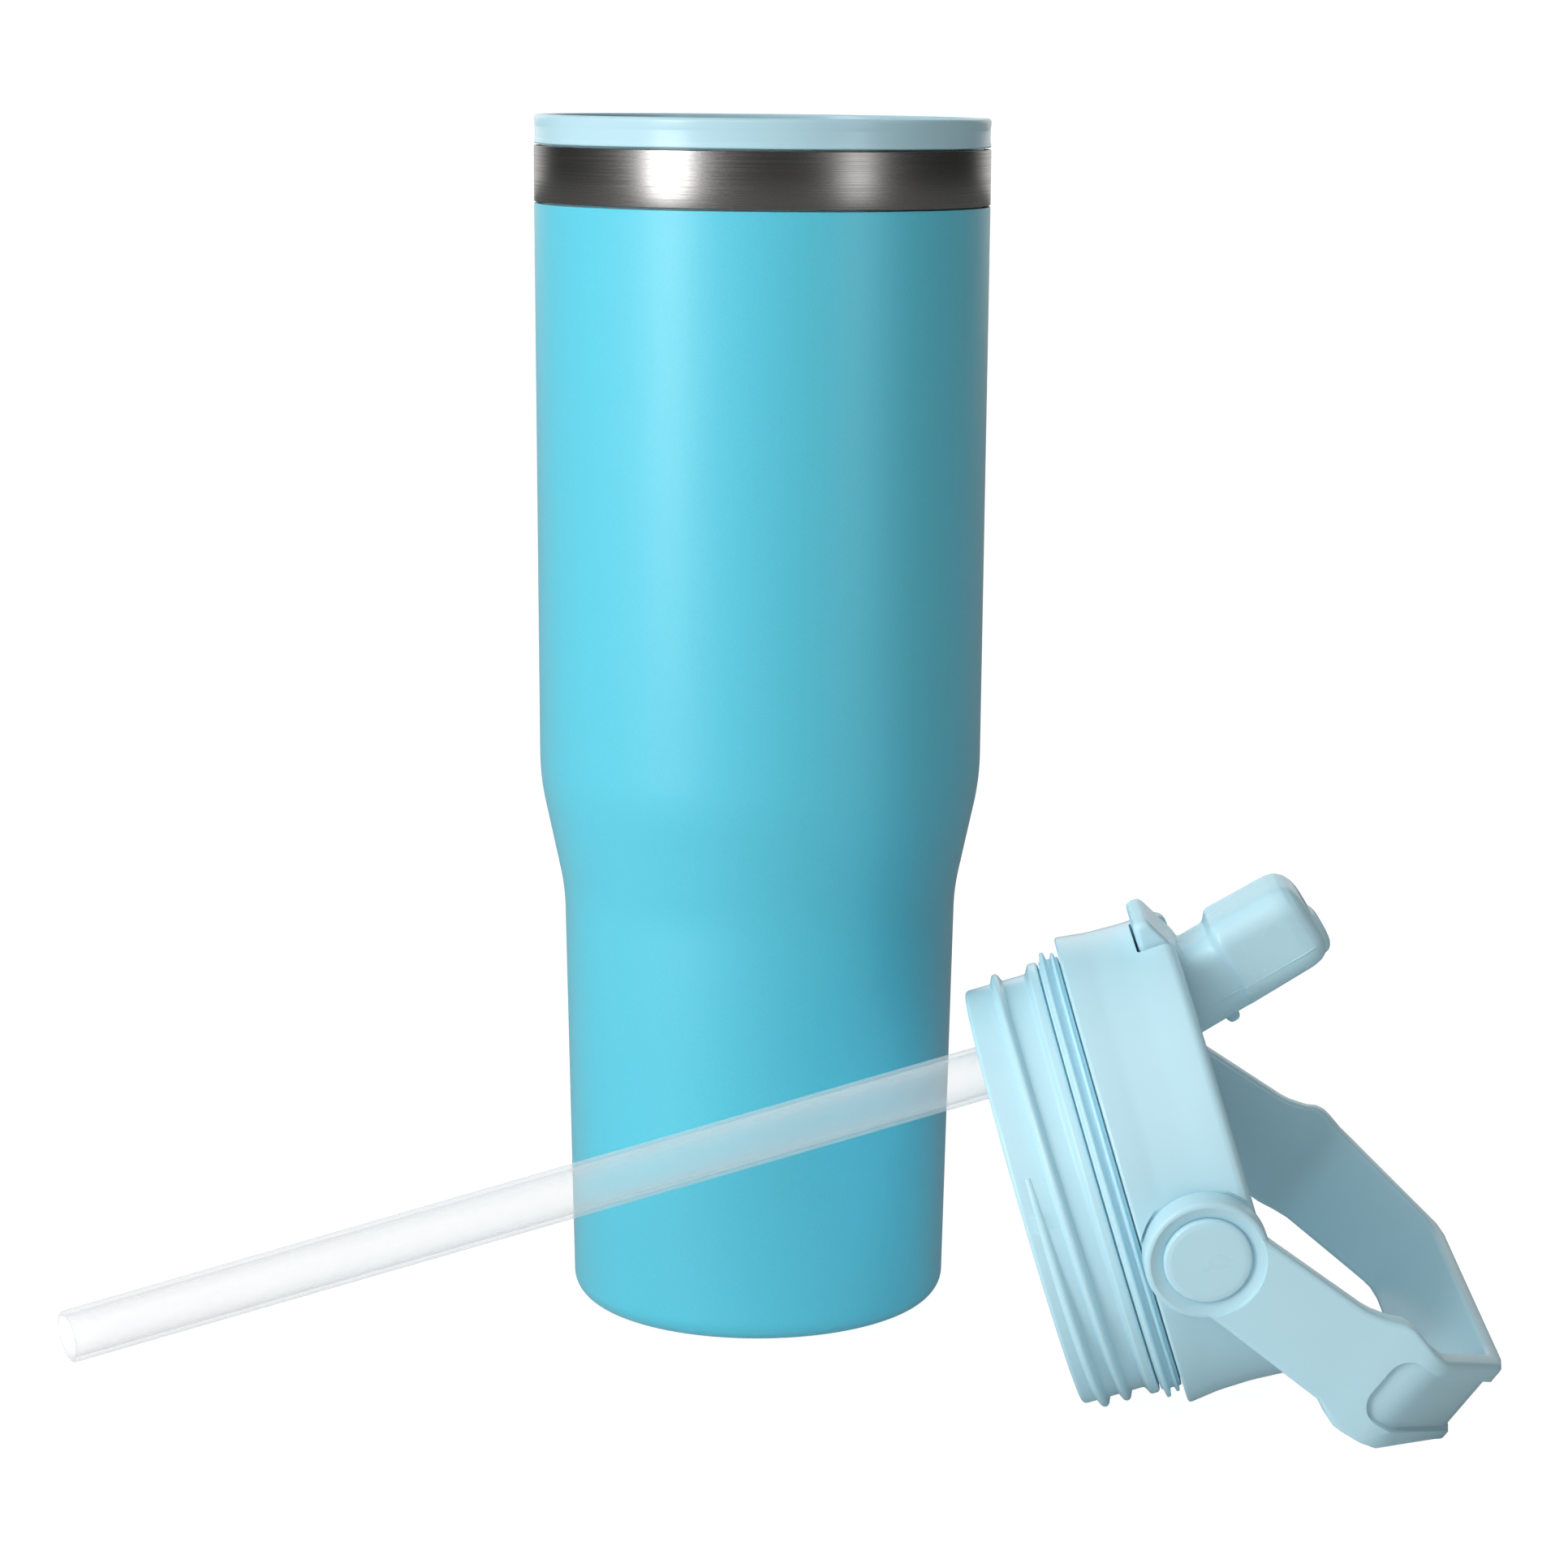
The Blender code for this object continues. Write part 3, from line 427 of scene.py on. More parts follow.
def frosted_tube(name, colour, haze):
    """Frosted see-through plastic. Haze is how milky a wall is where it faces the eye and where it
    turns away."""
    made, tree, shader = blank(name)
    vector = coordinates(tree)
    tree.links.new(
        tinted(tree, noise(tree, vector, 30, 2), scaled(colour, 0.985), colour),
        shader.inputs["Base Color"],
    )
    tree.links.new(
        between(tree, noise(tree, vector, 60, 2), 0.3, 0.38), shader.inputs["Roughness"]
    )
    turn = tree.nodes.new("ShaderNodeLayerWeight")
    turn.inputs["Blend"].default_value = 0.3
    tree.links.new(
        between(tree, turn.outputs["Facing"], *haze, 0, 1), shader.inputs["Alpha"]
    )
    return made


BLUE = (0.085, 0.62, 0.79)
ICE = (0.54, 0.82, 0.92)

PAINT = powder_coat("powder_coat_blue", BLUE)
BRUSHED = steel("brushed_neck_steel", (0.44, 0.43, 0.42), 0.25, (14, 14, 5200), 0.003, 0.6)
POLISHED = steel("liner_steel", (0.66, 0.66, 0.65), 0.26, (60, 60, 2200), 0.002)
PRESSED = steel("base_cup_steel", (0.55, 0.55, 0.55), 0.36, (420, 420, 420), 0.004)
GETTER = steel("getter_alloy", (0.33, 0.33, 0.34), 0.5, (1600, 1600, 1600), 0.01)
PIN = steel("pin_steel", (0.62, 0.62, 0.62), 0.26, (3000, 80, 3000), 0.003)
COLLAR = moulded("collar_plastic", scaled(ICE, 0.88), 0.24)
LID_SKIN = moulded("lid_plastic", ICE, 0.24)
PLATE = moulded("inner_plate_plastic", scaled(ICE, 1.04), 0.33)
GASKET = moulded("gasket_silicone", scaled(ICE, 1.03), 0.42, 0.006)
SPOUT_SKIN = moulded("spout_plastic", scaled(ICE, 0.99), 0.27)
NOZZLE = moulded("nozzle_silicone", scaled(ICE, 1.03), 0.34, 0.006)
BAIL = moulded("handle_plastic", scaled(ICE, 0.96), 0.30)
CAP = moulded("cap_plastic", ICE, 0.28)
SEAL = moulded("seal_silicone", (0.72, 0.80, 0.83), 0.5, 0.006, translucency=0.3)
VALVE = moulded("valve_silicone", (0.78, 0.88, 0.91), 0.45, 0.006, translucency=0.3)
NYLON = moulded("washer_nylon", (0.80, 0.82, 0.80), 0.45, 0.006, translucency=0.2)
PAD = moulded("base_rubber", (0.07, 0.24, 0.30), 0.68, 0.02, spread=0.08)
BEAD = moulded("port_solder_glass", (0.12, 0.14, 0.14), 0.15, 0.01, spread=0.1)
STRAW = frosted_tube("straw_plastic", (0.90, 0.915, 0.92), haze=(0.13, 0.55))


# Bottle

def top_of(node):
    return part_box(node)[1].z / MM


def foot_of(node):
    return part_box(node)[0].z / MM


def radius_of(node):
    low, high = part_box(node)
    return (high.x - low.x) / 2 / MM


RIM = top_of("threaded_collar")
BARREL = radius_of("neck_band")
SHELL_TOP = top_of("outer_shell")
SHELL_FOOT = foot_of("outer_shell")
SHELL_WALL = 0.8
SHOULDER_TOP = (BARREL - 0.47, 101.8)
SHOULDER_FOOT = (BARREL - 4.98, 80.5)
FOOT_RADIUS = BARREL - 6.6
CUP_GAP = radius_of("base_cup") + 0.3

shell_corners = [
    (BARREL - 0.01, SHELL_TOP, 0.22),
    (*SHOULDER_TOP, 46),
    (*SHOULDER_FOOT, 42),
    (FOOT_RADIUS, SHELL_FOOT + 0.05, 10.2),
    (CUP_GAP, SHELL_FOOT, 0.3),
    (CUP_GAP, SHELL_FOOT + SHELL_WALL, 0.1),
    (FOOT_RADIUS - SHELL_WALL, SHELL_FOOT + SHELL_WALL, 9.4),
    (SHOULDER_FOOT[0] - SHELL_WALL, SHOULDER_FOOT[1], 42),
    (SHOULDER_TOP[0] - SHELL_WALL, SHOULDER_TOP[1], 46),
    (BARREL - SHELL_WALL, SHELL_TOP, 0.1),
]
piece(
    raw("bottle_shell", turned(rounded(shell_corners, 12), FINE)),
    BOTTLE, "bottle", PAINT, "powder_coat_blue", "outer_shell", sharp=50,
)

band_low, band_high = foot_of("neck_band"), top_of("neck_band")
band_corners = [
    (BARREL, band_high, 0.16),
    (BARREL, band_low, 0.16),
    (BARREL - 1.0, band_low, 0.05),
    (BARREL - 1.0, band_high, 0.05),
]
piece(
    raw("neck_ring", turned(rounded(band_corners, 5), FINE)),
    BOTTLE, "bottle", BRUSHED, "brushed_neck_steel", "neck_band",
)

# Where the lid rests on the rim, and where its thread begins, above the mouth of its plug
SEAT = 17.9
MALE_START = 2.75

COLLAR_FOOT = band_high + 0.3
SLEEVE = 40.65
SLEEVE_FOOT = COLLAR_FOOT - 14.9
BORE = 39.75
collar_corners = [
    (BARREL + 0.1, RIM, 0.75),
    (BARREL - 0.17, RIM - 2.2, 2.0),
    (BARREL - 0.17, COLLAR_FOOT + 1.2, 1.5),
    (BARREL + 0.05, COLLAR_FOOT + 0.05, 0.3),
    (SLEEVE, COLLAR_FOOT, 0.0),
    (SLEEVE, SLEEVE_FOOT, 0.2),
    (BORE, SLEEVE_FOOT, 0.2),
    (BORE, COLLAR_FOOT + 0.4, 0.5),
    (BORE + 0.7, COLLAR_FOOT + 1.4, 0.5),
    (BORE + 0.7, RIM, 0.45),
]
collar = raw("rim_collar", turned(rounded(collar_corners, 6), FINE))
female_start = RIM - SEAT + MALE_START + THREAD_PITCH / 2
female = raw("rim_thread", ridge(38.3, BORE + 0.4, 0.95, 0.35, female_start))
combine(collar, ("UNION", female))
piece(collar, BOTTLE, "bottle", COLLAR, "collar_plastic", "threaded_collar")

LINER_STEP = 3.7
LINER_WALL = 0.7
LINER_TOP = top_of("inner_liner")
LINER_FLOOR = foot_of("inner_liner")
liner_outside = [
    (SLEEVE + 0.2, LINER_TOP, 0.0),
    (SLEEVE + 0.2, LINER_TOP - LINER_WALL, 0.0),
    (BARREL - LINER_STEP, LINER_TOP - LINER_WALL, 0.9),
    (SHOULDER_TOP[0] - LINER_STEP, SHOULDER_TOP[1] + 1, 46),
    (SHOULDER_FOOT[0] - LINER_STEP, SHOULDER_FOOT[1] + 1, 42),
    (FOOT_RADIUS - LINER_STEP, LINER_FLOOR, 10.0),
    (0.0, LINER_FLOOR, 0.0),
]
liner_inside = [
    (0.0, LINER_FLOOR + LINER_WALL, 0.0),
    (FOOT_RADIUS - LINER_STEP - LINER_WALL, LINER_FLOOR + LINER_WALL, 9.4),
    (SHOULDER_FOOT[0] - LINER_STEP - LINER_WALL, SHOULDER_FOOT[1] + 1, 42),
    (SHOULDER_TOP[0] - LINER_STEP - LINER_WALL, SHOULDER_TOP[1] + 1, 46),
    (BARREL - LINER_STEP - LINER_WALL, LINER_TOP, 1.4),
]
piece(
    raw("steel_liner", turned(rounded(liner_outside + liner_inside, 12, closed=False), MEDIUM)),
    BOTTLE, "bottle", POLISHED, "liner_steel", "inner_liner", sharp=50,
)

# Lid

LID_RADIUS = 42.6
WAIST = 41.75
LID_TOP = 37.8
PLUG = 37.8
PLUG_BORE = 35.3
GLAND = 38.0
RING = 39.35
DECK_UNDER = 35.3
STRAW_X = -24.9
HINGE_X = -27.2
HINGE_Z = 28.0

lid_corners = [
    (0.0, LID_TOP, 0.0),
    (WAIST + 0.45, LID_TOP, 2.0),
    (WAIST, 29.5, 30),
    (WAIST + 0.15, 23.5, 20),
    (LID_RADIUS, SEAT, 0.55),
    (GLAND, SEAT, 0.15),
    (GLAND, 13.7, 0.15),
    (RING, 13.7, 0.7),
    (RING, 12.0, 0.6),
    (PLUG, 11.2, 0.6),
    (PLUG, 0.0, 0.8),
    (PLUG_BORE, 0.0, 0.6),
    (PLUG_BORE, DECK_UNDER, 1.2),
    (0.0, DECK_UNDER, 0.0),
]
lid = raw("lid_cover", turned(rounded(lid_corners, 7, closed=False), FINE))


def slot_ring(x0, x1, half, corner, z, grow=0.0, steps=6):
    """A rounded rectangle across the lid at height z, from x0 to x1, grown by a margin."""
    ring = []
    middle, reach = (x0 + x1) / 2, (x1 - x0) / 2 + grow
    half, corner = half + grow, corner + grow
    for sx, sy, start in ((1, 1, 0), (-1, 1, 90), (-1, -1, 180), (1, -1, 270)):
        for k in range(steps + 1):
            turn = radians(start + 90 * k / steps)
            ring.append((
                middle + sx * (reach - corner) + corner * cos(turn),
                sy * (half - corner) + corner * sin(turn),
                z,
            ))
    return ring


def pocket(name, x0, x1, half, corner, floor, lip, floor_round=0.6):
    """A cutter with rounded corners, a rounded floor edge and a flared lip at the lid's top."""
    rings = []
    floor_steps, lip_steps, overshoot = 5, 6, 6.0
    for k in range(floor_steps + 1):
        turn = 0.5 * pi * k / floor_steps
        z = floor + floor_round * (1 - cos(turn))
        rings.append(slot_ring(x0, x1, half, corner, z, -floor_round * (1 - sin(turn))))
    for k in range(lip_steps + 1):
        turn = 0.5 * pi * k / lip_steps
        z = LID_TOP - lip * (1 - sin(turn))
        rings.append(slot_ring(x0, x1, half, corner, z, lip * (1 - cos(turn))))
    rings.append(slot_ring(x0, x1, half, corner, LID_TOP + overshoot, lip))
    return raw(name, lofted(rings))


def on_pivot(side):
    """From the lid's frame to its pivot axis, facing one side."""
    return Matrix.Translation((0, 0, PIVOT_HEIGHT * MM)) @ facing(side)


HUB_RADIUS = 10.6
HUB_INNER = 41.3
HUB_OUTER = 46.1
RECESS_FLOOR = 41.0
RECESS_RADIUS = HUB_RADIUS + 0.5
PIN_HOLE = 2.5
CLEAR_OUT = 60
TROUGH_BACK = -37.8
TROUGH_FRONT = 12.5
TROUGH_HALF = 8.6
TROUGH_FLOOR = 19.2
TROUGH_WALL = 2.4
trough_box = [
    (-PLUG_BORE - 0.6, 16.7),
    (TROUGH_FRONT + TROUGH_WALL, 16.7),
    (TROUGH_FRONT + TROUGH_WALL, LID_TOP - 1),
    (-PLUG_BORE - 0.6, LID_TOP - 1),
]
trough_reach = TROUGH_HALF + TROUGH_WALL
trough = pocket("trough", TROUGH_BACK, TROUGH_FRONT, TROUGH_HALF, 1.6, TROUGH_FLOOR, 0.5)
notch = pocket("notch", -LID_RADIUS - 6, TROUGH_BACK + 1.6, 7.3, 0.9, 31.2, 0.4, 0.5)
lid_steps = [
    ("UNION", raw("male_thread", ridge(39.3, PLUG - 0.4, 1.3, 0.55, MALE_START))),
    ("UNION", raw("trough_box", prism(trough_box, -trough_reach, trough_reach))),
    ("DIFFERENCE", trough),
    ("DIFFERENCE", notch),
]
for name, x, radius, low in (
    ("port", STRAW_X, 3.2, 12.0),
    ("port_seat", STRAW_X, 6.9, 17.7),
    ("vent", HINGE_X + 14.6, 3.2, 12.0),
):
    lid_steps.append(("DIFFERENCE", rod(name, radius, low, 25.0, 48, moved_along(x))))
recess = rounded(
    [
        (0, CLEAR_OUT, 0),
        (RECESS_RADIUS, CLEAR_OUT, 0),
        (RECESS_RADIUS, RECESS_FLOOR, 0.3),
        (0, RECESS_FLOOR, 0),
    ],
    5, closed=False,
)
for side, name in SIDES:
    lid_steps += [
        ("DIFFERENCE", raw("recess_" + name, turned(recess, 96), on_pivot(side))),
        ("DIFFERENCE", rod("hole_" + name, PIN_HOLE, PLUG_BORE - 3, CLEAR_OUT, 40, on_pivot(side))),
    ]
combine(lid, *lid_steps)
piece(lid, LID, "lid", LID_SKIN, "lid_plastic", "lid_body")

gasket_corners = [
    (GLAND + 0.2, 17.6, 0.2),
    (39.2, 17.6, 0.2),
    (39.2, 17.05, 0.25),
    (40.15, 17.0, 0.22),
    (40.15, 16.5, 0.22),
    (39.2, 16.2, 0.3),
    (39.2, 15.5, 0.3),
    (40.7, 15.25, 0.28),
    (40.7, 14.6, 0.28),
    (39.2, 14.3, 0.3),
    (39.0, 14.0, 0.1),
    (GLAND + 0.2, 14.0, 0.1),
]
piece(
    raw("lid_gasket_ring", turned(rounded(gasket_corners, 4), FINE)),
    LID, "lid", GASKET, "gasket_silicone", "lid_gasket",
)

PLATE_RADIUS = PLUG_BORE - 0.3
PLATE_TOP = 15.8
PLATE_FOOT = 13.8
plate_corners = [
    (0.0, PLATE_TOP, 0),
    (PLATE_RADIUS, PLATE_TOP, 0.3),
    (PLATE_RADIUS, PLATE_FOOT, 0.4),
    (29.0, PLATE_FOOT, 0.4),
    (28.4, PLATE_FOOT + 0.5, 0.4),
    (13.0, PLATE_FOOT + 0.5, 0.4),
    (12.4, PLATE_FOOT, 0.4),
    (0.0, PLATE_FOOT, 0),
]
plate = raw("plug_plate", turned(rounded(plate_corners, 4, closed=False), MEDIUM))
SOCKET = 6.3
VALVE_X = 22.0
combine(
    plate,
    ("DIFFERENCE", rod("socket_hole", SOCKET + 0.3, 10, 20, 64, moved_along(STRAW_X))),
    ("DIFFERENCE", rod("valve_hole", 1.9, 10, 20, 64, moved_along(VALVE_X))),
)
piece(plate, LID, "lid", PLATE, "inner_plate_plastic", "lid_inner_plate")

STRAW_RADIUS = 4.7
STRAW_PLACE = LID @ moved_along(STRAW_X)
socket_corners = [
    (SOCKET, 16.4, 0.2),
    (SOCKET, 4.6, 0.6),
    (STRAW_RADIUS + 0.3, 4.6, 0.4),
    (STRAW_RADIUS + 0.3, 15.0, 0),
    (3.2, 15.0, 0.1),
    (3.2, 16.4, 0.1),
]
piece(
    raw("straw_sleeve", turned(rounded(socket_corners, 5), COARSE)),
    STRAW_PLACE, "lid", PLATE, "inner_plate_plastic", "straw_socket",
)
valve_corners = [
    (0.0, 18.6, 0),
    (1.5, 18.6, 0.6),
    (2.7, 16.6, 0.3),
    (2.7, 16.1, 0.1),
    (1.6, 16.1, 0.1),
    (1.6, 13.5, 0.1),
    (4.6, 13.1, 0.2),
    (4.3, 12.3, 0.4),
    (0.0, 11.6, 0),
]
piece(
    raw("vent_mushroom", turned(rounded(valve_corners, 4, closed=False), COARSE)),
    LID @ moved_along(VALVE_X), "lid", VALVE, "valve_silicone", "vent_valve",
)

# Handle

ARM_INNER = 42.45
THICKNESS = 3.6
BEND = 41.1
BAR = 57.5
BAIL_NODES = [(ARM_INNER, 0.0), (46.0, BEND), (27.7, BAR)]
LEG_STEPS = (22, 10, 14, 10, 22)
CAP_RADIUS = 7.45
CAP_FACE = 46.35
CAP_SHANK = 6.2
HUB_BORE = 6.6
HUB_FLOOR = HUB_OUTER - 2.7
PIN_BORE = 2.6
WASHER_SEAT = 5.8


def bail_line(offset):
    """The bail's inner line in (across, along), from one pivot to the other, moved outward."""
    corners = BAIL_NODES + [(-x, y) for x, y in reversed(BAIL_NODES)]
    moved = []
    for i, here in enumerate(corners):
        here = Vector(here)
        ahead = Vector(corners[i + 1]) - here if i < len(corners) - 1 else None
        behind = here - Vector(corners[i - 1]) if i > 0 else None
        ways = [Vector((w.y, -w.x)).normalized() for w in (behind or ahead, ahead or behind)]
        mitre = (ways[0] + ways[1]).normalized()
        moved.append(here + mitre * offset / mitre.dot(ways[0]))
    return moved


# Half width of the bail on each edge at places along the arm, with a shoulder before the corner
FRONT_EDGE = (
    (0, 8.6), (26.9, 9.0), (31.0, 10.1), (33.2, 11.3), (35.0, 11.3), (BEND, 9.7), (BAR, 10.0),
)
BACK_EDGE = (
    (0, 7.9), (8.2, 7.8), (29.8, 8.4), (34.0, 10.5), (36.0, 10.6), (BEND, 10.1), (BAR, 7.4),
)


def edge_at(table, place):
    """The half width from a table at a place along the arm."""
    for (y0, width0), (y1, width1) in zip(table, table[1:]):
        if place <= y1:
            share = max(0.0, place - y0) / (y1 - y0)
            return width0 + (width1 - width0) * share
    return table[-1][1]


def bail_stations(offset_low, offset_high):
    """Pairs of inner and outer points along the bail, stepping over each bend to soften it."""
    inner, outer = bail_line(offset_low), bail_line(offset_high)
    pairs = [(inner[0], outer[0])]
    ease = 0.05
    for leg, count in enumerate(LEG_STEPS):
        for k in range(count + 1):
            share = ease + (1 - 2 * ease) * k / count
            pairs.append(tuple(line[leg].lerp(line[leg + 1], share) for line in (inner, outer)))
    return pairs + [(inner[-1], outer[-1])]


def bail_section(a, b, low, high, corner, steps=4):
    """A rounded rectangle between an inner and an outer point, from x = low to x = high."""
    depth = (b - a).length
    way = (b - a) / depth
    ring = []
    for x, level, start in ((low, 0, 180), (high, 0, 270), (high, depth, 0), (low, depth, 90)):
        cx = x + corner if x == low else x - corner
        cl = level + corner if level == 0 else level - corner
        for k in range(steps + 1):
            turn = radians(start + 90 * k / steps)
            point = a + way * (cl + corner * sin(turn))
            ring.append((cx + corner * cos(turn), -point.x, point.y))
    return ring


rings = []
for a, b in bail_stations(0.0, THICKNESS):
    along = (a.y + b.y) / 2
    rings.append(bail_section(a, b, -edge_at(FRONT_EDGE, along), edge_at(BACK_EDGE, along), 0.95))
handle = raw("carry_handle", lofted(rings))

# The shallow groove round the bar, which narrows toward it, and its round ends on the arms
GROOVE_DEPTH = 1.0
GROOVE_START = 36.0
GROOVE_CORNER = 4.2
GROOVE_LOW = -6.85
GROOVE_HIGH = 5.55
GROOVE_TAPER = 0.65
GROOVE_MARGIN = 0.4
GROOVE_WALL = ((0.0, -0.35), (0.12, -0.1), (0.35, 0.0), (0.8, 0.05), (1.1, 0.3), (3.9, 0.5))
groove_rings = []
for a, b in bail_stations(THICKNESS - GROOVE_DEPTH, THICKNESS + 3.0):
    way = (b - a).normalized()
    taper = GROOVE_TAPER * min(1.0, max(0.0, (a.y - BEND) / (BAR - BEND)))
    low, high = GROOVE_LOW + taper, GROOVE_HIGH - taper
    ring = [(low - grow, *(a + way * up)) for up, grow in GROOVE_WALL]
    ring += [(high + grow, *(a + way * up)) for up, grow in reversed(GROOVE_WALL)]
    groove_rings.append([(x, -u, v) for x, u, v in ring])
groove = raw("bar_groove", lofted(groove_rings))
end_outline = rounded(
    [
        (GROOVE_LOW - GROOVE_MARGIN, GROOVE_START, GROOVE_CORNER),
        (GROOVE_HIGH + GROOVE_MARGIN, GROOVE_START, GROOVE_CORNER),
        (GROOVE_HIGH + GROOVE_MARGIN, 90, 0),
        (GROOVE_LOW - GROOVE_MARGIN, 90, 0),
    ],
    10,
)
combine(groove, ("INTERSECT", raw("groove_end", prism(end_outline, -60, 60))))
handle_steps = [("DIFFERENCE", groove)]
for side, name in SIDES:
    hub = rounded(
        [
            (0.0, HUB_OUTER, 0),
            (HUB_RADIUS, HUB_OUTER, 0.9),
            (HUB_RADIUS, HUB_INNER, 0.3),
            (0.0, HUB_INNER, 0),
        ],
        6, closed=False,
    )
    handle_steps.append(("UNION", raw("hub_" + name, turned(hub, 96), facing(side))))
    dish = rounded(
        [
            (0.0, HUB_OUTER + 5, 0),
            (HUB_RADIUS - 0.5, HUB_OUTER + 5, 0),
            (HUB_RADIUS - 0.8, HUB_OUTER + 0.1, 0.4),
            (HUB_RADIUS - 1.7, HUB_OUTER - 0.35, 0.8),
            (HUB_BORE, HUB_OUTER - 1.5, 0.2),
            (HUB_BORE, HUB_FLOOR, 0.15),
            (0.0, HUB_FLOOR, 0),
        ],
        6, closed=False,
    )
    handle_steps.append(("DIFFERENCE", raw("dish_" + name, turned(dish, 96), facing(side))))
    # The pin's bore, and the wider seat of the friction washer on the hub's inside
    bore = [
        (0, HUB_OUTER),
        (PIN_BORE, HUB_OUTER),
        (PIN_BORE, HUB_INNER + 1),
        (WASHER_SEAT, HUB_INNER + 1),
        (WASHER_SEAT, HUB_INNER - 2),
        (0, HUB_INNER - 2),
    ]
    handle_steps.append(("DIFFERENCE", raw("bore_" + name, turned(bore, 48), facing(side))))
combine(handle, *handle_steps)
piece(handle, HANDLE, "handle", BAIL, "handle_plastic", "handle", sharp=34)

cap_profile = rounded(
    [
        (0.0, CAP_FACE, 0),
        (CAP_RADIUS - 1.2, CAP_FACE - 0.02, 1.0),
        (CAP_RADIUS, CAP_FACE - 0.2, 0.7),
        (CAP_RADIUS, HUB_OUTER - 1.05, 0.15),
        (CAP_SHANK, HUB_OUTER - 1.25, 0.1),
        (CAP_SHANK, HUB_OUTER - 2.3, 0.2),
        (0.0, HUB_OUTER - 2.3, 0),
    ],
    6, closed=False,
)
for side, name in SIDES:
    piece(
        raw("cap_" + name, turned(cap_profile, 112), on_pivot(side)),
        LID, "lid", CAP, "cap_plastic", "pivot_cap_" + name,
    )

# Spout

def lobe(along, inner, outer, half, corner, steps=8):
    """A rounded rectangle across the spout. Outer is its limit toward the lid's rim."""
    ring = []
    for x, y, start in (
        (-outer + corner, -half + corner, 180),
        (-inner - corner, -half + corner, 270),
        (-inner - corner, half - corner, 0),
        (-outer + corner, half - corner, 90),
    ):
        for k in range(steps + 1):
            turn = radians(start + 90 * k / steps)
            ring.append((x + corner * cos(turn), y + corner * sin(turn), along))
    return ring


def on_spout(height, outward):
    """A point given by its height in the lid and distance toward the rim, in the spout's frame."""
    up, out = height - HINGE_Z, outward + HINGE_X
    return (
        up * sin(SPOUT_LEAN) - out * cos(SPOUT_LEAN),
        up * cos(SPOUT_LEAN) + out * sin(SPOUT_LEAN),
    )


SPOUT_HALF = 6.9
MOUTH_HALF = 7.8
HINGE_BARREL = 8.2
NOZZLE_X = 1.8
spout = raw(
    "drinking_spout",
    lofted([
        lobe(2.0, -6.6, 6.6, SPOUT_HALF - 0.6, 3.0),
        lobe(8.0, -7.4, 7.5, SPOUT_HALF, 3.6),
        lobe(17.9, -7.3, 7.5, SPOUT_HALF, 3.6),
        lobe(18.3, -7.3, 7.7, SPOUT_HALF + 0.2, 3.8),
        lobe(19.5, -7.25, 9.1, MOUTH_HALF - 0.1, 4.2),
        lobe(20.0, -7.2, 9.3, MOUTH_HALF, 4.3),
        lobe(31.5, -7.0, 9.05, MOUTH_HALF, 4.4),
        lobe(33.2, -6.7, 8.7, MOUTH_HALF - 0.3, 4.3),
        lobe(34.4, -6.1, 7.8, MOUTH_HALF - 1.0, 4.0),
        lobe(35.1, -5.2, 6.6, MOUTH_HALF - 1.9, 3.5),
        lobe(35.5, -4.0, 5.2, MOUTH_HALF - 3.2, 2.8),
    ]),
)
tab_outline = rounded(
    [
        (*on_spout(height, outward), radius)
        for height, outward, radius in (
            (31.65, 31.0, 0),
            (31.65, 46.0, 1.0),
            (34.2, 46.2, 1.2),
            (38.4, 38.6, 0.5),
            (39.1, 36.0, 0),
            (36.0, 31.0, 0),
        )
    ],
    6,
)
nub_outline = rounded([(5.0, 12.4, 0), (9.7, 13.6, 0.8), (9.7, 15.7, 0.8), (5.0, 16.2, 0)], 5)
barrel_outline = [
    (HINGE_BARREL * cos(2 * pi * i / 72), HINGE_BARREL * sin(2 * pi * i / 72)) for i in range(72)
]
barrel_end = SPOUT_HALF - 0.05
combine(
    spout,
    ("UNION", raw("spout_barrel", pillow(barrel_outline, -barrel_end, barrel_end, 0.6))),
    ("UNION", raw("thumb_tab", pillow(tab_outline, -6.8, 6.8, 1.5))),
    ("UNION", raw("vent_nub", pillow(nub_outline, -1.9, 1.9, 0.5))),
)
melted(spout, 0.25, 14)
spout_steps = [("DIFFERENCE", rod("flow", 2.6, -12, 45, 56, moved_along(NOZZLE_X)))]
for side, name in SIDES:
    pin_bore = rod("spout_pin_bore_" + name, 1.9, 4.6, 20, 40, facing(side))
    spout_steps.append(("DIFFERENCE", pin_bore))

# The mould's parting line, a hair-thin ridge along each flank: (along, half width), then its section
PARTING_LINE = (
    (10.0, 6.9), (17.6, 6.95), (18.3, 7.1), (19.6, 7.75), (31.5, 7.85), (32.8, 7.6), (33.6, 7.2),
)
PARTING_SECTION = ((2.6, -0.6), (2.72, 0.05), (2.88, 0.05), (3.0, -0.6))
for side, name in SIDES:
    strip = [
        [(x, side * (half + out), z) for x, out in PARTING_SECTION] for z, half in PARTING_LINE
    ]
    spout_steps.append(("UNION", raw("parting_" + name, lofted(strip))))
combine(spout, *spout_steps)
piece(spout, SPOUT, "spout", SPOUT_SKIN, "spout_plastic", "spout", sharp=60)

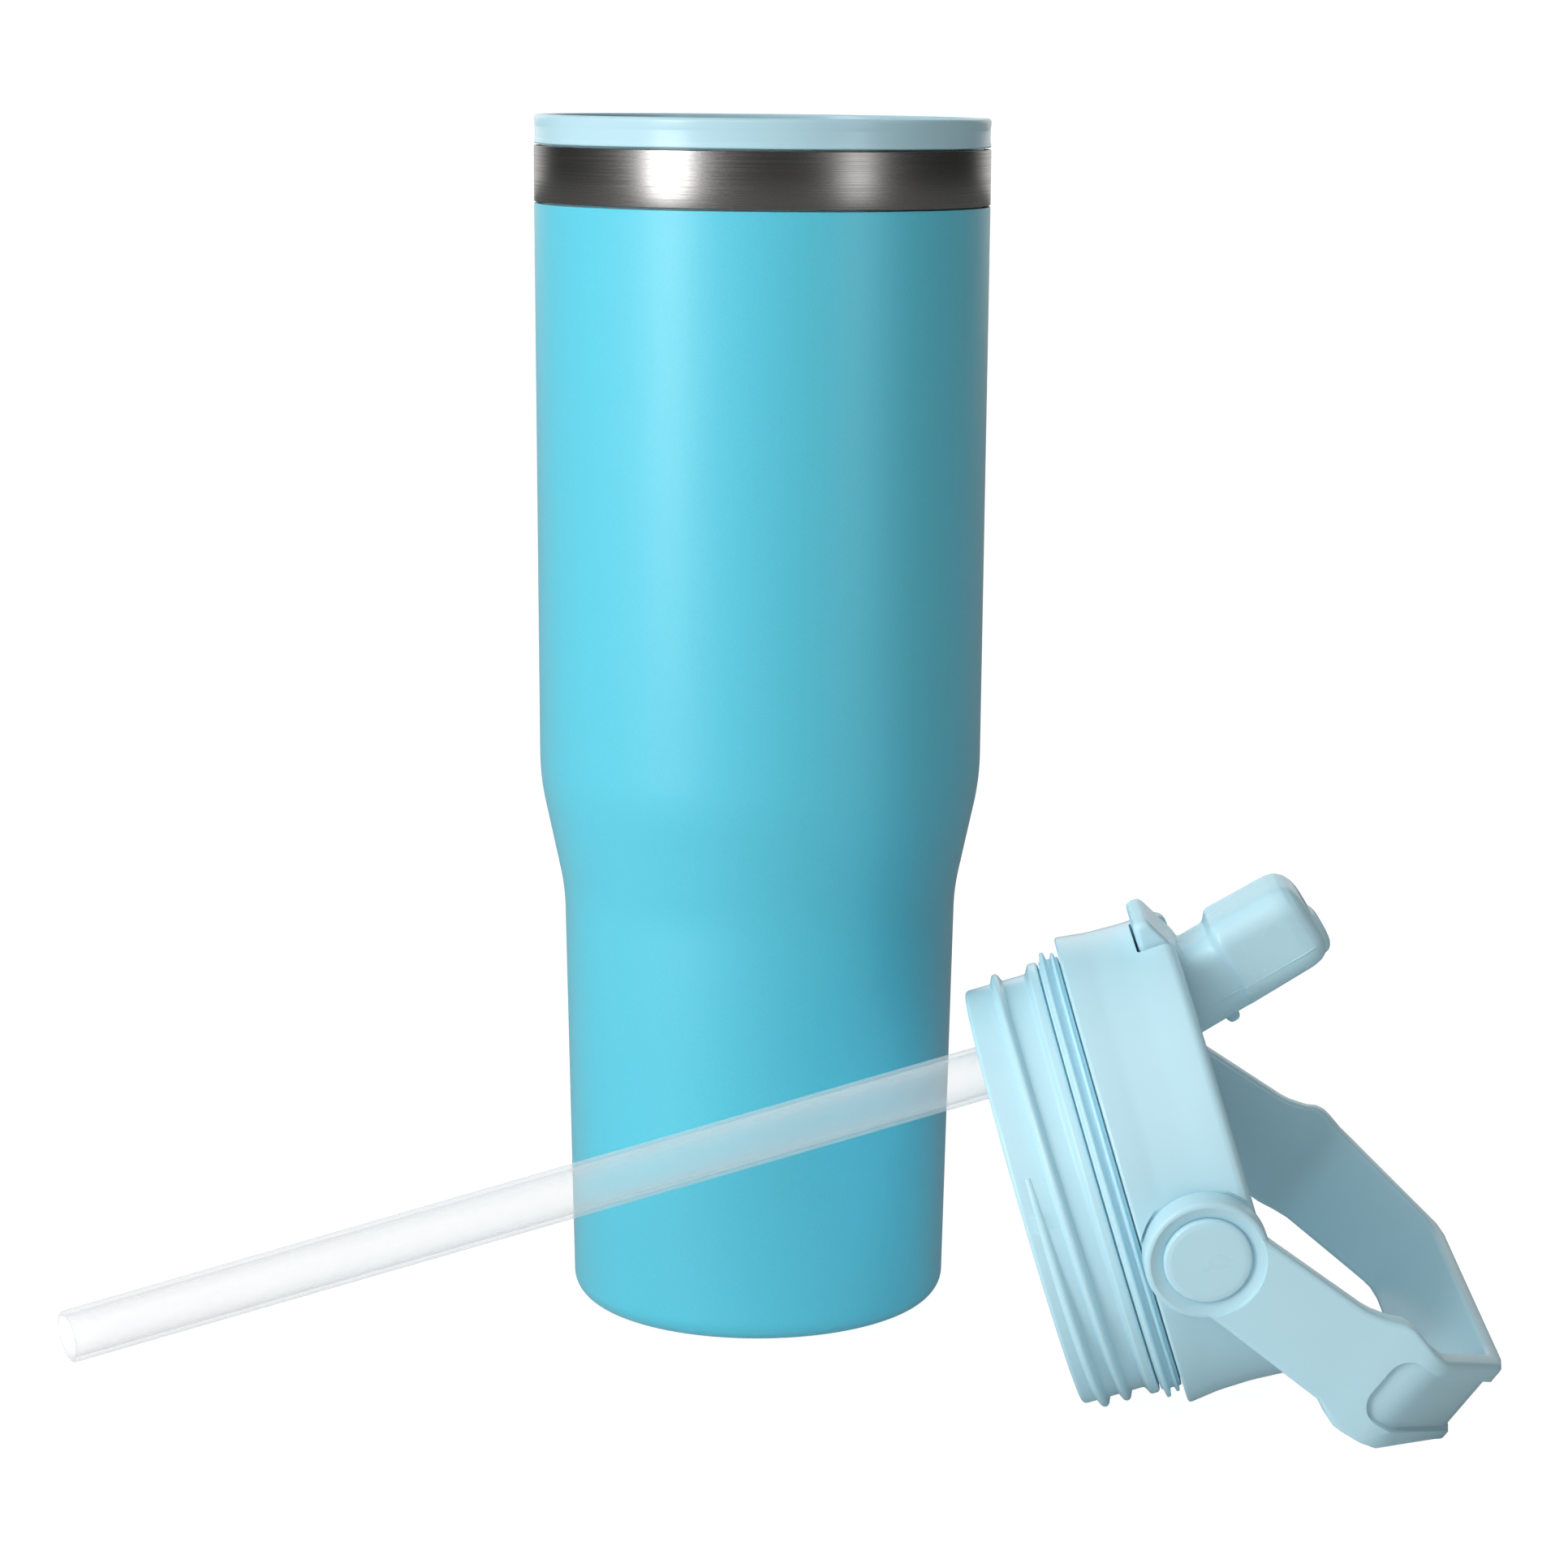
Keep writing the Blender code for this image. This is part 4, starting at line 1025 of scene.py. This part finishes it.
# The soft end stands out of the lower half of the mouthpiece, round the flow bore
nozzle = raw(
    "soft_nozzle",
    lofted([
        lobe(32.2, -6.0, 1.2, 4.6, 3.2),
        lobe(33.9, -6.65, 1.6, 5.4, 3.6),
        lobe(34.9, -6.5, 1.5, 5.2, 3.5),
        lobe(35.5, -6.0, 1.1, 4.7, 3.2),
        lobe(35.9, -5.3, 0.5, 4.0, 2.7),
        lobe(36.1, -4.4, -0.3, 3.0, 1.9),
    ]),
)
melted(nozzle, 0.2, 4)
combine(nozzle, ("DIFFERENCE", rod("nozzle_bore", 1.7, 20, 45, 48, moved_along(NOZZLE_X))))
piece(nozzle, SPOUT, "spout", NOZZLE, "nozzle_silicone", "spout_nozzle", sharp=60)

# Straw

STRAW_BORE = 3.9
STRAW_TOP = 14.5
STRAW_END = -169.6
straw_corners = [
    (STRAW_RADIUS, STRAW_TOP, 0.3),
    (STRAW_RADIUS, STRAW_END, 0.35),
    (STRAW_BORE, STRAW_END, 0.3),
    (STRAW_BORE, STRAW_TOP, 0.2),
]
piece(
    raw("drinking_straw", turned(rounded(straw_corners, 5), 96)),
    STRAW_PLACE, "straw", STRAW, "straw_plastic", "straw",
)

# CAD nodes that keep their own shape
for node, finish in {
    "collar_seal": SEAL,
    "base_cup": PRESSED,
    "vacuum_port_plug": BEAD,
    "getter": GETTER,
    "base_pad": PAD,
    "spout_port_seal": SEAL,
    "pivot_pin_near": PIN,
    "pivot_pin_far": PIN,
    "spout_pin_near": PIN,
    "spout_pin_far": PIN,
    "friction_washer_near": NYLON,
    "friction_washer_far": NYLON,
}.items():
    for material_slot in frame["nodes"][node].material_slots:
        material_slot.material = finish

# Floor, light and camera
scene = bpy.context.scene


def shown_ray(tree):
    """1 for rays from the camera, straight or through the straw, and 0 for rays that light it all."""
    path = tree.nodes.new("ShaderNodeLightPath")
    either = tree.nodes.new("ShaderNodeMath")
    either.operation = "MAXIMUM"
    tree.links.new(path.outputs["Is Camera Ray"], either.inputs[0])
    tree.links.new(path.outputs["Is Transmission Ray"], either.inputs[1])
    return either.outputs[0]


def floor_material(plain, lift):
    """Pale floor, lifted to the backdrop's white where the camera sees it and dim in reflections.
    Plain is its colour to the camera, and lift its glow on the object and to the camera."""
    made, tree, shader = blank("studio_floor")
    path = tree.nodes.new("ShaderNodeLightPath")
    bounced = between(tree, path.outputs["Is Glossy Ray"], 0.75, 0.03, 0, 1)
    colour = tree.nodes.new("ShaderNodeMix")
    tree.links.new(shown_ray(tree), colour.inputs["Factor"])
    tree.links.new(bounced, colour.inputs["A"])
    colour.inputs["B"].default_value = plain
    tree.links.new(colour.outputs["Result"], shader.inputs["Base Color"])
    shader.inputs["Roughness"].default_value = 0.8
    shader.inputs["Specular IOR Level"].default_value = 0.0
    shader.inputs["Emission Color"].default_value = (1, 1, 1, 1)
    tree.links.new(
        between(tree, shown_ray(tree), *lift, 0, 1), shader.inputs["Emission Strength"]
    )
    return made


bpy.ops.mesh.primitive_plane_add(size=9, location=(0, 0, 0))
floor = bpy.context.active_object
floor.name = "studio_floor"
floor.data.materials.append(floor_material(plain=0.2, lift=(0.12, 0.96)))


def studio_world():
    """White to the camera. To the object, it runs from dark in front of it to bright behind it."""
    world = bpy.data.worlds.new("studio")
    world.use_nodes = True
    tree = world.node_tree
    tree.nodes.clear()
    where = tree.nodes.new("ShaderNodeTexCoord")
    split = tree.nodes.new("ShaderNodeSeparateXYZ")
    tree.links.new(where.outputs["Generated"], split.inputs["Vector"])
    path = tree.nodes.new("ShaderNodeLightPath")

    def backdrop(front, back, start=0.0, end=1.0):
        """White light whose strength runs from front to back between two depths of the view."""
        made = tree.nodes.new("ShaderNodeBackground")
        made.inputs["Color"].default_value = (1, 1, 1, 1)
        strength = between(tree, split.outputs["Y"], front, back, start, end)
        tree.links.new(strength, made.inputs["Strength"])
        return made.outputs[0]

    def chosen(switch, off, on):
        """One backdrop or the other, by a switch of 0 or 1."""
        made = tree.nodes.new("ShaderNodeMixShader")
        tree.links.new(switch, made.inputs["Fac"])
        tree.links.new(off, made.inputs[1])
        tree.links.new(on, made.inputs[2])
        return made.outputs[0]

    lighting = backdrop(0.07, 0.45, -0.12, 0.55)
    mirrored = backdrop(0.03, 1.1, 0.70, 0.92)
    lit = chosen(path.outputs["Is Glossy Ray"], lighting, mirrored)
    out = tree.nodes.new("ShaderNodeOutputWorld")
    tree.links.new(chosen(shown_ray(tree), lit, backdrop(1.05, 1.05)), out.inputs["Surface"])
    return world


scene.world = studio_world()


LIT_POINT = Vector((0.03, -0.02, 0.1))


def softbox(name, azimuth, elevation, distance, width, height, power, mirrored=True, lighting=True):
    """A rectangular lamp that faces the lit point. Azimuth runs from the camera's side toward the
    right. The lamp can show in reflections, light the pieces, or both."""
    turn, rise = radians(azimuth), radians(elevation)
    way = Vector((sin(turn) * cos(rise), -cos(turn) * cos(rise), sin(rise)))
    data = bpy.data.lights.new(name, "AREA")
    data.shape = "RECTANGLE"
    data.size = width
    data.size_y = height
    data.energy = power
    lamp = bpy.data.objects.new(name, data)
    lamp.location = LIT_POINT + way * distance
    lamp.rotation_euler = (-way).to_track_quat("-Z", "Y").to_euler()
    lamp.visible_glossy = mirrored
    lamp.visible_diffuse = lighting
    scene.collection.objects.link(lamp)


softbox("key", -48, 12, 1.6, 0.50, 1.6, 16.5)
softbox("strip", 47, 8, 1.6, 0.40, 1.5, 3.6, lighting=False)
softbox("front", -14, 28, 1.9, 1.2, 0.9, 4.6, mirrored=False)
softbox("fill", -80, 20, 1.9, 0.9, 1.5, 7, mirrored=False)
softbox("top", -25, 66, 1.5, 1.2, 1.2, 7, mirrored=False)

# The camera stands level with the bottle's rim, a little to the left of the pair
CAMERA_AT = Vector((0, -0.710295, 0.231853))
CAMERA_PITCH = 0.183397
CAMERA_ROLL = 0.010691
CAMERA_YAW = 0.035739


def seen_along(right, ahead, up):
    """A direction given in the camera's own right, ahead and up, in the scene's axes."""
    c, s = cos(CAMERA_ROLL), sin(CAMERA_ROLL)
    right, up = c * right - s * up, s * right + c * up
    c, s = cos(CAMERA_PITCH), sin(CAMERA_PITCH)
    ahead, up = c * ahead + s * up, -s * ahead + c * up
    c, s = cos(CAMERA_YAW), sin(CAMERA_YAW)
    return Vector((c * right + s * ahead, -s * right + c * ahead, up))


lens = bpy.data.cameras.new("camera")
lens.sensor_fit = "HORIZONTAL"
lens.sensor_width = 36
lens.lens = 87.418
lens.shift_x = -0.0703
camera = bpy.data.objects.new("camera", lens)
axes = (seen_along(1, 0, 0), seen_along(0, 0, 1), -seen_along(0, 1, 0))
camera.matrix_world = Matrix.Translation(CAMERA_AT) @ Matrix(axes).transposed().to_4x4()
scene.collection.objects.link(camera)
scene.camera = camera
scene.view_settings.view_transform = "Standard"
